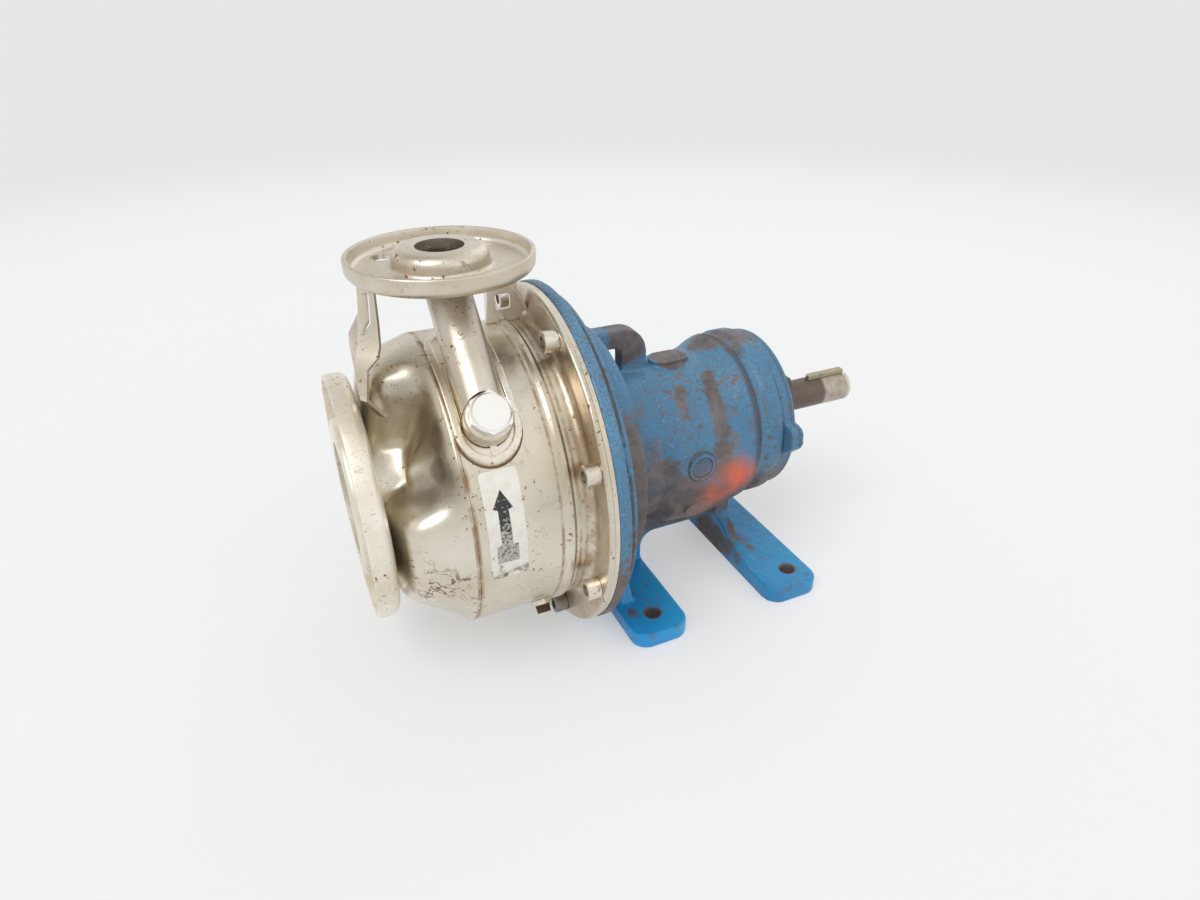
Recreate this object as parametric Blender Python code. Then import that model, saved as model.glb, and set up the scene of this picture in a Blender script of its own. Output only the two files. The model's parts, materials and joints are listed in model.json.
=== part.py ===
"""Frame-mounted centrifugal pump with a pressed stainless casing and a cast bearing frame.

Metres, +Z up. X runs along the shaft, from the suction flange (-X) to the drive end (+X).
Lengths along the shaft are measured from the front face of the cast adapter disc, and radii
from the shaft's axis. The empty pump_datum carries everything and puts the origin on the
table, under the middle of the pump. Angles round the shaft start at the near side (-Y) and
grow towards the top (+Z).
"""
import bpy
import bmesh
from math import atan2, cos, exp, log, pi, radians, sin, sqrt, tan
from mathutils import Vector

# Clearances
SEAT_GAP = 0.0003
RUNNING_GAP = 0.0006
WEAR_RING_GAP = 0.0008

# Overall places along the shaft
AXIS_HEIGHT = 0.1460
RING_RADIUS = 0.1420
SUCTION_FACE_X = -0.1652
DISCHARGE_X = -0.0725
SHAFT_END_X = 0.3095

# Suction flange, a pressed dish
SUCTION_FLANGE_RADIUS = 0.09525
SUCTION_RIM_WIDTH = 0.0170
SUCTION_RIM_RECESS = 0.0018
SUCTION_HUB_RADIUS = 0.0640
SUCTION_HUB_ROUND = 0.0030
SUCTION_BORE_RADIUS = 0.0440
SUCTION_BOLT_CIRCLE = 0.0762
SUCTION_HOLE_RADIUS = 0.0095
SUCTION_NECK_RADIUS = 0.0500
SUCTION_TUBE_WALL = 0.0027
SUCTION_TUBE_END_X = -0.1185
FLANGE_WALL = 0.0036

# Discharge flange, the same form, smaller
DISCHARGE_RIM_HEIGHT = RING_RADIUS + 0.0382
DISCHARGE_FLANGE_RADIUS = 0.0660
DISCHARGE_RIM_WIDTH = 0.0138
DISCHARGE_HUB_RISE = 0.0035
DISCHARGE_HUB_RADIUS = 0.0330
DISCHARGE_HUB_ROUND = 0.0075
DISCHARGE_HUB_FOOT_RADIUS = 0.0348
DISCHARGE_BORE_RADIUS = 0.0172
DISCHARGE_BOLT_CIRCLE = 0.0492
DISCHARGE_HOLE_RADIUS = 0.0079
FLANGE_HOLES = 4

# Pressed volute and barrel
SHEET = 0.0030
BARREL_RADIUS = RING_RADIUS - 0.0260
SEAM_X = -0.0950
DOME_ANGLE = 36.0
DOME_SPREAD = 17.0
DOME_OFFSET = 0.0180
DOME_REACH = 0.0135
DOME_HEIGHT = 0.0175
BEAD_X = -0.0262
BEAD_RADIUS = 0.0024
RING_THICKNESS = 0.0044

# Discharge tube, saddle and gauge tap
TUBE_RADIUS = 0.0160
TUBE_WALL = 0.0027
TUBE_FOOT_ANGLE = 46.0
TUBE_AXIS_RADIUS = BARREL_RADIUS + 0.0020
SADDLE_WIDTH = 0.0460
SADDLE_THICKNESS = 0.0042
SADDLE_FLOOR = 0.0018
SADDLE_LIP = 0.0050
SADDLE_TOP_ANGLE = 92.0
SADDLE_LOW_ANGLE = 32.4
BOSS_RADIUS = 0.0168
BOSS_TOP_RADIUS = BARREL_RADIUS + 0.0170
BOSS_THREAD_RADIUS = 0.0100
PLUG_ACROSS_FLATS = 0.0270
PLUG_HEAD_HEIGHT = 0.0075

# Drain tap under the barrel
DRAIN_X = -0.0395
DRAIN_ANGLE = -48.0
DRAIN_BOSS_RADIUS = 0.0085
DRAIN_THREAD_RADIUS = 0.0050
DRAIN_BOSS_HEIGHT = 0.0040
DRAIN_PLUG_SIDE = 0.0080
DRAIN_PLUG_HEIGHT = 0.0062

# Stays under the discharge flange
STAY_SHEET = 0.0025
FRONT_STAY_X = -0.1290
REAR_STAY_X = -0.0258
REAR_STAY_Y = 0.0160
REAR_STAY_WIDTH = 0.0240
REAR_STAY_TAB = 0.0080
REAR_STAY_WINDOW = 0.0120

# Casing screws
SCREW_COUNT = 8
SCREW_CIRCLE = RING_RADIUS - 0.0110
SCREW_HEAD_RADIUS = 0.0080
SCREW_HEAD_LENGTH = 0.0104
SCREW_SHANK_RADIUS = 0.0048
SCREW_SHANK_LENGTH = 0.0200
SCREW_SOCKET_RADIUS = 0.0046
SCREW_SOCKET_DEPTH = 0.0060

# Cast bearing frame
ADAPTER_RADIUS = RING_RADIUS + 0.0002
ADAPTER_RIM = 0.0095
ADAPTER_STEP_RADIUS = ADAPTER_RADIUS - 0.0082
ADAPTER_DEPTH = 0.0180
BELL_RADIUS = ADAPTER_RADIUS - 0.0382
BELL_REAR_X = 0.0425
BELL_WALL = 0.0085
NECK_RADIUS = 0.0610
SUMP_DROP = 0.0135
SUMP_RADIUS = 0.0745
SUMP_WALL = 0.0150
SUMP_PAD_X = 0.1095
SUMP_PAD_ANGLE = -25.0
SUMP_PAD_RADIUS = 0.0130
SUMP_PAD_RISE = 0.0018
DRUM_RADIUS = 0.0732
DRUM_FRONT_X = 0.1580
FRAME_REAR_X = 0.1855
OIL_SPACE_RADIUS = 0.0480
FOOT_THICKNESS = 0.0143
FRONT_FOOT_X = 0.0588
FRONT_FOOT_WIDTH = 0.0520
REAR_FOOT_X = 0.1945
REAR_FOOT_WIDTH = 0.0540
FOOT_SPAN = 0.2200
FOOT_HOLE_SPAN = 0.1706
FOOT_HOLE_RADIUS = 0.0063
REAR_HOLE_SHIFT = 0.0065
FOOT_CORNER = 0.0150
WEB_WIDTH = 0.0280
ARCH_HEIGHT = 0.0430
RIB_THICKNESS = 0.0120
RIB_WAIST = 0.0135
RIB_WAIST_HEIGHT = 0.0350
RIB_FOOT = 0.0640
FRONT_RIB_FOOT = 0.0680
EYE_WIDTH = 0.0150
EYE_TOP = BELL_RADIUS - 0.0030
EYE_REAR_X = 0.0875
EYE_THICKNESS = 0.0225
EYE_BEND = 0.0260
EYE_HOLE_RADIUS = 0.0080
TOP_BOSS_X = 0.1115
TOP_BOSS_LENGTH = 0.0350
TOP_BOSS_WIDTH = 0.0230
TOP_BOSS_HEIGHT = 0.0665
MARK_X = 0.1070
MARK_RADIUS = 0.0125

# Bearing cover and its gasket
GASKET_THICKNESS = 0.0005
COVER_RADIUS = 0.0724
COVER_FLANGE = 0.0134
COVER_HUB_RADIUS = 0.0610
COVER_HUB_RISE = 0.0080
EAR_ANGLE = 5.0
EAR_REACH = 0.0845
EAR_TIP_RADIUS = 0.0085
COVER_SCREW_COUNT = 4
COVER_SCREW_CIRCLE = 0.0500
COVER_SCREW_FLATS = 0.0130
COVER_SCREW_HEAD = 0.0053
COVER_SCREW_SHANK = 0.0040
COVER_SCREW_REACH = 0.0120

# Shaft and what sits on it
COUPLING_RADIUS = 0.01429
SEAL_RADIUS = 0.0175
BODY_RADIUS = 0.0210
SLEEVE_SEAT_RADIUS = 0.0140
IMPELLER_SEAT_RADIUS = 0.0110
SHAFT_THREAD_RADIUS = 0.0080
KEY_SIDE = 0.00635
KEY_LENGTH = 0.0410
KEY_END_SET_BACK = 0.0040
KEY_DEPTH = 0.0026
SLEEVE_RADIUS = 0.0165
IMPELLER_KEY_SIDE = 0.0048

# Bearings: bore radius is the shaft's, so only the outside and width are set here
INBOARD_OUTER_RADIUS = 0.0360
INBOARD_WIDTH = 0.0170
INBOARD_X = 0.0585
OUTBOARD_OUTER_RADIUS = 0.0400
OUTBOARD_WIDTH = 0.0210
INBOARD_BALL_RADIUS = 0.0055
OUTBOARD_BALL_RADIUS = 0.0067
BALLS = 8
RACE_LAND = 0.75
GROOVE_CLEARANCE = 0.0009
CAGE_WALL = 0.0016
CAGE_WIDTH = 0.0070
SNAP_RING_WIDTH = 0.0018
SNAP_RING_RISE = 0.0032
SLINGER_X = 0.0380
SLINGER_WIDTH = 0.0050
SLINGER_RADIUS = 0.0300
LIP_SEAL_RADIUS = 0.0260
LIP_SEAL_WIDTH = 0.0080

# Impeller
IMPELLER_RADIUS = BARREL_RADIUS - 0.0300
IMPELLER_BACK_X = -0.0600
IMPELLER_OUTLET_WIDTH = 0.0100
SHROUD = 0.0030
EYE_RADIUS = 0.0385
EYE_HUB_X = -0.1240
EYE_RING_WALL = 0.0035
IMPELLER_EYE_X = -0.0830
HUB_RADIUS = 0.0190
HUB_FRONT_X = -0.0920
VANES = 6
VANE_ROOT_RADIUS = 0.0300
VANE_THICKNESS = 0.0030
VANE_SWEEP = 105.0
WASHER_RADIUS = 0.0150
WASHER_THICKNESS = 0.0022
NUT_ACROSS_FLATS = 0.0240
NUT_HEIGHT = 0.0088

# Seal plate and mechanical seal
PLATE_DISH_X = -0.0540
PLATE_DISH_RADIUS = BARREL_RADIUS - 0.0080
PLATE_SHEET = 0.0034
SEAL_CHAMBER_RADIUS = 0.0340
SEAL_CHAMBER_END_X = -0.0140
SEAL_BORE_RADIUS = 0.0205
SEAT_LENGTH = 0.0080
SEAL_HEAD_RADIUS = 0.0260
SEAL_HEAD_LENGTH = 0.0120
SPRING_RADIUS = 0.0210
SPRING_WIRE = 0.0012
SPRING_TURNS = 3
SPRING_STEPS = 12
SLEEVE_END_X = 0.0295

# Facets
RIM_FACETS = 32
FLANGE_FACETS = 24
BODY_FACETS = 20
SMALL_FACETS = 16
HOLE_FACETS = 8
SCREW_FACETS = 10
ARC_STEPS = 4
ARC_STEP_LENGTH = 0.0035

# Places that follow from the sizes above
FLANGE_FLOOR_X = SUCTION_FACE_X + SUCTION_RIM_RECESS + SUCTION_RIM_WIDTH
VOLUTE_FRONT_X = FLANGE_FLOOR_X + SEAT_GAP
PLATE_FACE_X = -(SEAT_GAP + PLATE_SHEET)
RING_FACE_X = PLATE_FACE_X - SEAT_GAP - RING_THICKNESS
DISCHARGE_FLOOR = DISCHARGE_RIM_HEIGHT - DISCHARGE_RIM_WIDTH
OUTBOARD_X = FRAME_REAR_X - OUTBOARD_WIDTH
GASKET_X = FRAME_REAR_X + SEAT_GAP
COVER_X = GASKET_X + GASKET_THICKNESS + SEAT_GAP
COVER_REAR_X = COVER_X + COVER_FLANGE + COVER_HUB_RISE
HUB_REAR_X = IMPELLER_BACK_X + 0.0010
SLEEVE_FRONT_X = HUB_REAR_X + SEAT_GAP
SEAT_X = SEAL_CHAMBER_END_X - SEAT_GAP - SEAT_LENGTH
HEAD_X = SEAT_X - SEAT_GAP - SEAL_HEAD_LENGTH
WASHER_X = HUB_FRONT_X - SEAT_GAP - WASHER_THICKNESS
NUT_X = WASHER_X - SEAT_GAP - NUT_HEIGHT
COVER_SEAL_X = COVER_REAR_X - 0.0010 - LIP_SEAL_WIDTH
FRAME_SEAL_X = INBOARD_X - 0.0020 - LIP_SEAL_WIDTH


def clear_scene():
    for old in list(bpy.data.objects):
        bpy.data.objects.remove(old, do_unlink=True)


def material(name, colour, roughness, metallic):
    made = bpy.data.materials.new(name)
    made.use_nodes = True
    shader = made.node_tree.nodes["Principled BSDF"]
    shader.inputs["Base Color"].default_value = (*colour, 1.0)
    shader.inputs["Roughness"].default_value = roughness
    shader.inputs["Metallic"].default_value = metallic
    made.diffuse_color = (*colour, 1.0)
    return made


def rounded(corners):
    """Closed outline through corners (u, v) or (u, v, radius), rounded where a radius is given."""
    outline = []
    count = len(corners)
    for index, corner in enumerate(corners):
        here = Vector(corner[:2])
        if len(corner) < 3 or corner[2] <= 0:
            outline.append(tuple(here))
            continue
        before = Vector(corners[index - 1][:2]) - here
        after = Vector(corners[(index + 1) % count][:2]) - here
        half = before.normalized().angle(after.normalized()) / 2
        reach = min(corner[2] / tan(half), 0.49 * before.length, 0.49 * after.length)
        radius = reach * tan(half)
        middle = here + (before.normalized() + after.normalized()).normalized() * radius / sin(half)
        first = here + before.normalized() * reach - middle
        last = here + after.normalized() * reach - middle
        start = atan2(first.y, first.x)
        turn = (atan2(last.y, last.x) - start + pi) % (2 * pi) - pi
        steps = min(ARC_STEPS, 1 + int(radius / ARC_STEP_LENGTH))
        for step in range(steps + 1):
            angle = start + turn * step / steps
            outline.append((middle.x + radius * cos(angle), middle.y + radius * sin(angle)))
    return outline


def polygon(sides, across_flats, turn=0.0):
    """Regular outline, sized across its flats."""
    radius = across_flats / 2 / cos(pi / sides)
    angles = [turn + 2 * pi * side / sides for side in range(sides)]
    return [(radius * cos(angle), radius * sin(angle)) for angle in angles]


def add_object(name, mesh_data, paint):
    mesh = bpy.data.meshes.new(name)
    bmesh.ops.recalc_face_normals(mesh_data, faces=mesh_data.faces)
    mesh_data.to_mesh(mesh)
    mesh_data.free()
    mesh.shade_smooth()
    mesh.set_sharp_from_angle(angle=radians(32))
    if paint:
        mesh.materials.append(paint)
    made = bpy.data.objects.new(name, mesh)
    bpy.context.scene.collection.objects.link(made)
    made.parent = datum
    return made


def turn_into(mesh_data, loop, facets, first_angle=0.0):
    """Adds a body turned about X from a closed loop of (x, radius) points."""
    rings = []
    for x, radius in loop:
        if radius < 1e-6:
            rings.append([mesh_data.verts.new((x, 0, 0))])
            continue
        angles = [first_angle + 2 * pi * facet / facets for facet in range(facets)]
        rings.append([mesh_data.verts.new((x, radius * cos(a), radius * sin(a))) for a in angles])
    for here, there in zip(rings, rings[1:] + rings[:1]):
        for facet in range(facets):
            other = (facet + 1) % facets
            if len(here) == 1 and len(there) == 1:
                break
            if len(here) == 1:
                mesh_data.faces.new((here[0], there[facet], there[other]))
            elif len(there) == 1:
                mesh_data.faces.new((here[facet], there[0], here[other]))
            else:
                mesh_data.faces.new((here[facet], there[facet], there[other], here[other]))


def turned(name, loop, facets, paint=None, first_angle=0.0):
    mesh_data = bmesh.new()
    turn_into(mesh_data, loop, facets, first_angle)
    return add_object(name, mesh_data, paint)


def rod(name, x_from, x_to, radius, facets=SMALL_FACETS, paint=None):
    return turned(name, [(x_from, 0), (x_from, radius), (x_to, radius), (x_to, 0)], facets, paint)


def prism_into(mesh_data, outline, low, high, plane):
    """Adds a prism. The outline lies in the named plane, and low and high are along its normal."""
    place = {
        "XY": lambda u, v, w: (u, v, w),
        "XZ": lambda u, v, w: (u, w, v),
        "YZ": lambda u, v, w: (w, u, v),
    }[plane]
    bottom = [mesh_data.verts.new(place(u, v, low)) for u, v in outline]
    top = [mesh_data.verts.new(place(u, v, high)) for u, v in outline]
    mesh_data.faces.new(bottom)
    mesh_data.faces.new(top)
    for index in range(len(outline)):
        other = (index + 1) % len(outline)
        mesh_data.faces.new((bottom[index], bottom[other], top[other], top[index]))


def prism(name, outline, low, high, plane, paint=None):
    mesh_data = bmesh.new()
    prism_into(mesh_data, outline, low, high, plane)
    return add_object(name, mesh_data, paint)


def point_along(made, place, direction):
    """Puts an object's local X along a direction at a place."""
    made.location = place
    made.rotation_mode = "QUATERNION"
    made.rotation_quaternion = Vector(direction).to_track_quat("X", "Z")
    return made


def radial(angle):
    """Unit vector away from the shaft at an angle from the near side towards the top."""
    return Vector((0, -cos(radians(angle)), sin(radians(angle))))


def combine(made, other, operation):
    other.hide_render = True
    other.display_type = "WIRE"
    step = made.modifiers.new(other.name, "BOOLEAN")
    step.operation = operation
    step.solver = "EXACT"
    step.object = other
    return made


def cut(made, *cutters):
    for cutter in cutters:
        combine(made, cutter, "DIFFERENCE")
    return made


def fuse(made, *others):
    for other in others:
        combine(made, other, "UNION")
    return made


def keep_inside(made, *others):
    for other in others:
        combine(made, other, "INTERSECT")
    return made


def circle_places(count, radius, first_angle):
    """(y, z) places evenly round the shaft."""
    angles = [radians(first_angle) + 2 * pi * index / count for index in range(count)]
    return [(-radius * cos(angle), radius * sin(angle)) for angle in angles]


def drill_set(name, places, radius, x_from, x_to, facets=HOLE_FACETS):
    """One cutter with a rod along X at each (y, z) place, its flats at the radius."""
    mesh_data = bmesh.new()
    radius = radius / cos(pi / facets)
    for y, z in places:
        start = len(mesh_data.verts)
        turn_into(mesh_data, [(x_from, 0), (x_from, radius), (x_to, radius), (x_to, 0)], facets)
        mesh_data.verts.ensure_lookup_table()
        bmesh.ops.translate(mesh_data, verts=mesh_data.verts[start:], vec=(0, y, z))
    return add_object(name, mesh_data, None)


def dish_loop(face, rim_top, floor, rim_radius, hub_foot, hub_top, hub_round, bore):
    """Half section of a pressed flange: raised hub, dished floor and rim turned to the face."""
    return rounded([
        (face, bore),
        (face, hub_top, hub_round),
        (floor - FLANGE_WALL, hub_foot, 0.0035),
        (floor - FLANGE_WALL, rim_radius - FLANGE_WALL, 0.0040),
        (rim_top, rim_radius - FLANGE_WALL, 0.0010),
        (rim_top, rim_radius, 0.0014),
        (floor, rim_radius, 0.0070),
        (floor, bore),
    ])


def suction_flange():
    rim_top = SUCTION_FACE_X + SUCTION_RIM_RECESS
    loop = dish_loop(SUCTION_FACE_X, rim_top, FLANGE_FLOOR_X, SUCTION_FLANGE_RADIUS,
                     SUCTION_HUB_RADIUS, SUCTION_HUB_RADIUS - 0.0030,
                     SUCTION_HUB_ROUND, SUCTION_BORE_RADIUS)
    made = turned("suction_flange", loop, RIM_FACETS, steel)
    places = circle_places(FLANGE_HOLES, SUCTION_BOLT_CIRCLE, 45.0)
    return cut(made, drill_set("suction_flange_holes", places, SUCTION_HOLE_RADIUS,
                               FLANGE_FLOOR_X - 0.03, FLANGE_FLOOR_X + 0.03, SMALL_FACETS))


def suction_tube():
    loop = [(VOLUTE_FRONT_X, SUCTION_BORE_RADIUS),
            (VOLUTE_FRONT_X, SUCTION_BORE_RADIUS + SUCTION_TUBE_WALL),
            (SUCTION_TUBE_END_X, SUCTION_BORE_RADIUS + SUCTION_TUBE_WALL),
            (SUCTION_TUBE_END_X, SUCTION_BORE_RADIUS)]
    return turned("suction_tube", loop, BODY_FACETS, steel)


def wear_ring():
    inside = EYE_RADIUS + EYE_RING_WALL + WEAR_RING_GAP
    front = SUCTION_TUBE_END_X - 0.0060
    loop = [(front, inside), (front, SUCTION_BORE_RADIUS - SEAT_GAP),
            (SUCTION_TUBE_END_X + SEAT_GAP, SUCTION_BORE_RADIUS - SEAT_GAP),
            (SUCTION_TUBE_END_X + SEAT_GAP, SUCTION_BORE_RADIUS + SUCTION_TUBE_WALL),
            (SUCTION_TUBE_END_X + 0.0045, SUCTION_BORE_RADIUS + SUCTION_TUBE_WALL),
            (SUCTION_TUBE_END_X + 0.0045, inside)]
    return turned("front_wear_ring", loop, BODY_FACETS, bright_steel)


def discharge_flange():
    face = -(DISCHARGE_RIM_HEIGHT + DISCHARGE_HUB_RISE)
    loop = dish_loop(face, -DISCHARGE_RIM_HEIGHT, -DISCHARGE_FLOOR, DISCHARGE_FLANGE_RADIUS,
                     DISCHARGE_HUB_FOOT_RADIUS, DISCHARGE_HUB_RADIUS,
                     DISCHARGE_HUB_ROUND, DISCHARGE_BORE_RADIUS)
    made = turned("discharge_flange", loop, FLANGE_FACETS, steel)
    made.location = (DISCHARGE_X, 0, 0)
    made.rotation_euler = (0, pi / 2, 0)
    places = circle_places(FLANGE_HOLES, DISCHARGE_BOLT_CIRCLE, 45.0)
    drill = drill_set("discharge_flange_holes", places, DISCHARGE_HOLE_RADIUS,
                      -DISCHARGE_FLOOR - 0.02, -DISCHARGE_FLOOR + 0.02, SMALL_FACETS)
    drill.location = made.location
    drill.rotation_euler = made.rotation_euler
    return cut(made, drill)


def blend(low, high, share):
    return low + (high - low) * share


def smooth_share(value, low, high):
    share = min(1.0, max(0.0, (value - low) / (high - low)))
    return share * share * (3 - 2 * share)


def signed(angle):
    return (angle + 180) % 360 - 180


def pocket_share(angle):
    """1 in the pocket between the passage's start and its big end, 0 where the passage runs."""
    return smooth_share(angle, 11, 27) * (1 - smooth_share(angle, 64, 82))


def taper_share(angle):
    """1 where the passage is a plain cone underneath, 0 where its shoulder is square."""
    if angle > 0:
        return 0.5 * smooth_share(angle, 140, 180)
    return smooth_share(-angle, 20, 34) * (1 - 0.5 * smooth_share(-angle, 130, 180))


def volute_point(angle, share):
    """Outer face of the pressed shell, share 0 at the neck to 1 at the weld seam.

    The profiles give (x, radius) as shares of the way from the neck to the seam and the barrel."""
    angle = signed(angle)
    square = [(0, 0), (0.022, 0.076), (0.041, 0.182), (0.068, 0.333), (0.096, 0.485),
              (0.127, 0.614), (0.180, 0.735), (0.282, 0.818), (0.440, 0.874), (0.638, 0.927),
              (0.810, 0.966), (0.941, 1), (1, 1)]
    cone = [(0, 0), (0.022, 0.100), (0.042, 0.210), (0.066, 0.330), (0.095, 0.455),
            (0.160, 0.545), (0.266, 0.623), (0.400, 0.690), (0.560, 0.765), (0.730, 0.855),
            (0.870, 0.930), (0.941, 1), (1, 1)]
    pocket = [(0, 0), (0.120, 0.004), (0.260, 0.012), (0.400, 0.030), (0.540, 0.075),
              (0.645, 0.160), (0.715, 0.290), (0.757, 0.450), (0.790, 0.620), (0.822, 0.780),
              (0.868, 0.910), (0.941, 1), (1, 1)]
    place = share * (len(square) - 1)
    index = min(int(place), len(square) - 2)
    spots = [Vector(line[index]).lerp(Vector(line[index + 1]), place - index)
             for line in (square, cone, pocket)]
    passage = spots[0].lerp(spots[1], taper_share(angle))
    spot = passage.lerp(spots[2], pocket_share(angle))
    x = blend(VOLUTE_FRONT_X, SEAM_X, spot.x)
    radius = blend(SUCTION_NECK_RADIUS, BARREL_RADIUS, spot.y)
    across = (angle - DOME_ANGLE) / DOME_SPREAD
    out = (radius - SUCTION_NECK_RADIUS - DOME_OFFSET) / DOME_REACH
    dome = exp(-across ** 2 - out ** 2) * smooth_share(spot.y, 0, 0.12)
    return x - DOME_HEIGHT * dome, radius


def volute_surface(name, lift, closed):
    """The shell's outer face, lifted outwards, open for the sheet or closed for a cutter."""
    along = 12
    mesh_data = bmesh.new()
    grid = []
    corners = [360 * step / RIM_FACETS for step in range(RIM_FACETS)]
    columns = [(angle, 1) for angle in corners]
    columns += [(angle + 180 / RIM_FACETS, cos(pi / RIM_FACETS)) for angle in corners if 6 < angle < 84]
    for angle, chord in sorted(columns):
        row = []
        for mark in range(along + 1):
            x, radius = volute_point(angle, mark / along)
            before = Vector(volute_point(angle, max(0, mark - 0.3) / along))
            after = Vector(volute_point(angle, min(along, mark + 0.3) / along))
            slope = (after - before).normalized()
            spot = radial(angle) * (radius + lift * slope.x) * chord
            row.append(mesh_data.verts.new((x - lift * slope.y, spot.y, spot.z)))
        grid.append(row)
    for here, there in zip(grid, grid[1:] + grid[:1]):
        for mark in range(along):
            mesh_data.faces.new((here[mark], here[mark + 1], there[mark + 1], there[mark]))
    if closed:
        mesh_data.faces.new([row[0] for row in grid])
        mesh_data.faces.new([row[-1] for row in grid])
        return add_object(name, mesh_data, None)
    mesh = bpy.data.meshes.new(name)
    mesh_data.to_mesh(mesh)
    mesh_data.free()
    mesh.shade_smooth()
    mesh.materials.append(steel)
    made = bpy.data.objects.new(name, mesh)
    bpy.context.scene.collection.objects.link(made)
    made.parent = datum
    return made


def volute_casing():
    made = volute_surface("volute_casing", 0, False)
    wall = made.modifiers.new("sheet", "SOLIDIFY")
    wall.thickness = SHEET
    wall.offset = -1
    return made


def tube_frame():
    """Foot of the discharge tube's axis and its direction, a tangent to the barrel."""
    foot = Vector((DISCHARGE_X, 0, 0)) + radial(TUBE_FOOT_ANGLE) * TUBE_AXIS_RADIUS
    along = Vector((0, sin(radians(TUBE_FOOT_ANGLE)), cos(radians(TUBE_FOOT_ANGLE))))
    return foot, along


def tube_rod(name, radius, low, high, facets):
    foot, along = tube_frame()
    made = rod(name, low, high, radius, facets)
    return point_along(made, foot, along)


def boss_rod(name, radius, low, high, facets=SMALL_FACETS):
    made = rod(name, low, high, radius, facets)
    return point_along(made, (DISCHARGE_X, 0, 0), radial(TUBE_FOOT_ANGLE))


def boss_space(name):
    """Cutter for the gauge boss, from inside the barrel to clear of the boss."""
    return boss_rod(name, BOSS_RADIUS + SEAT_GAP, 0.7 * BARREL_RADIUS, 1.4 * BARREL_RADIUS)


def barrel_solid(name, radius):
    return rod(name, SEAM_X - 0.03, RING_FACE_X - 0.005, radius, RIM_FACETS)


def barrel_envelope(name):
    """Solid of the barrel's outer outline with the seating gap, for what is welded on it."""
    skin = BARREL_RADIUS + SEAT_GAP
    crest = skin + 0.7 * BEAD_RADIUS
    front = RING_FACE_X - SEAT_GAP
    loop = [(SEAM_X - 0.02, 0), (SEAM_X - 0.02, skin), (BEAD_X - 1.7 * BEAD_RADIUS, skin),
            (BEAD_X - 0.7 * BEAD_RADIUS, crest), (BEAD_X + 0.7 * BEAD_RADIUS, crest),
            (BEAD_X + 1.7 * BEAD_RADIUS, skin), (front - 0.0065, skin), (front, skin + 0.0060),
            (front, RING_RADIUS + 0.01), (front + 0.01, RING_RADIUS + 0.01), (front + 0.01, 0)]
    return turned(name, loop, RIM_FACETS)


def casing_barrel():
    bead = BEAD_RADIUS
    inside = BARREL_RADIUS - SHEET
    ring_rear = RING_FACE_X + RING_THICKNESS
    loop = rounded([
        (SEAM_X + SEAT_GAP, BARREL_RADIUS),
        (BEAD_X - 1.6 * bead, BARREL_RADIUS),
        (BEAD_X - 0.6 * bead, BARREL_RADIUS + 0.7 * bead),
        (BEAD_X + 0.6 * bead, BARREL_RADIUS + 0.7 * bead),
        (BEAD_X + 1.6 * bead, BARREL_RADIUS),
        (RING_FACE_X, BARREL_RADIUS, 0.0060),
        (RING_FACE_X, RING_RADIUS, 0.0032),
        (ring_rear, RING_RADIUS, 0.0008),
        (ring_rear, inside, 0.0090),
        (SEAM_X + SEAT_GAP, inside),
    ])
    made = turned("casing_barrel", loop, RIM_FACETS, steel)
    places = circle_places(SCREW_COUNT, SCREW_CIRCLE, 180 / SCREW_COUNT)
    drain = rod("drain_hole", BARREL_RADIUS - 0.02, BARREL_RADIUS + 0.02,
                DRAIN_THREAD_RADIUS + SEAT_GAP, 12)
    point_along(drain, (DRAIN_X, 0, 0), radial(DRAIN_ANGLE))
    return cut(
        made,
        tube_rod("tube_slot", TUBE_RADIUS - TUBE_WALL, -0.010, 0.060, 20),
        drill_set("ring_holes", places, SCREW_SHANK_RADIUS + SEAT_GAP, RING_FACE_X - 0.01,
                  RING_FACE_X + 0.02),
        drain)


def discharge_tube():
    foot, along = tube_frame()
    top = DISCHARGE_FLOOR - SEAT_GAP
    length = (top - foot.z) / along.z + 2 * TUBE_RADIUS
    inside = TUBE_RADIUS - TUBE_WALL
    loop = [(-0.001, inside), (-0.001, TUBE_RADIUS), (length, TUBE_RADIUS), (length, inside)]
    made = turned("discharge_tube", loop, SMALL_FACETS, steel, pi / SMALL_FACETS)
    point_along(made, foot, along)
    above = rod("tube_trim", top, top + 0.06, 0.06)
    point_along(above, (DISCHARGE_X, 0, 0), (0, 0, 1))
    return cut(made, above, barrel_solid("tube_barrel", BARREL_RADIUS + SEAT_GAP),
               boss_space("tube_boss"))


def obround(name, half_length, half_width):
    """Cutter with round ends, its long side round the barrel, reaching outwards from the axis."""
    middle = (SADDLE_LOW_ANGLE + SADDLE_TOP_ANGLE) / 2
    corners = [(-half_width, -half_length, half_width * 0.99),
               (half_width, -half_length, half_width * 0.99),
               (half_width, half_length, half_width * 0.99),
               (-half_width, half_length, half_width * 0.99)]
    made = prism(name, rounded(corners), 0.5 * BARREL_RADIUS, 1.3 * BARREL_RADIUS, "XY")
    made.location = (DISCHARGE_X, 0, 0)
    made.rotation_euler = (radians(90 - middle), 0, 0)
    return made


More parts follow.
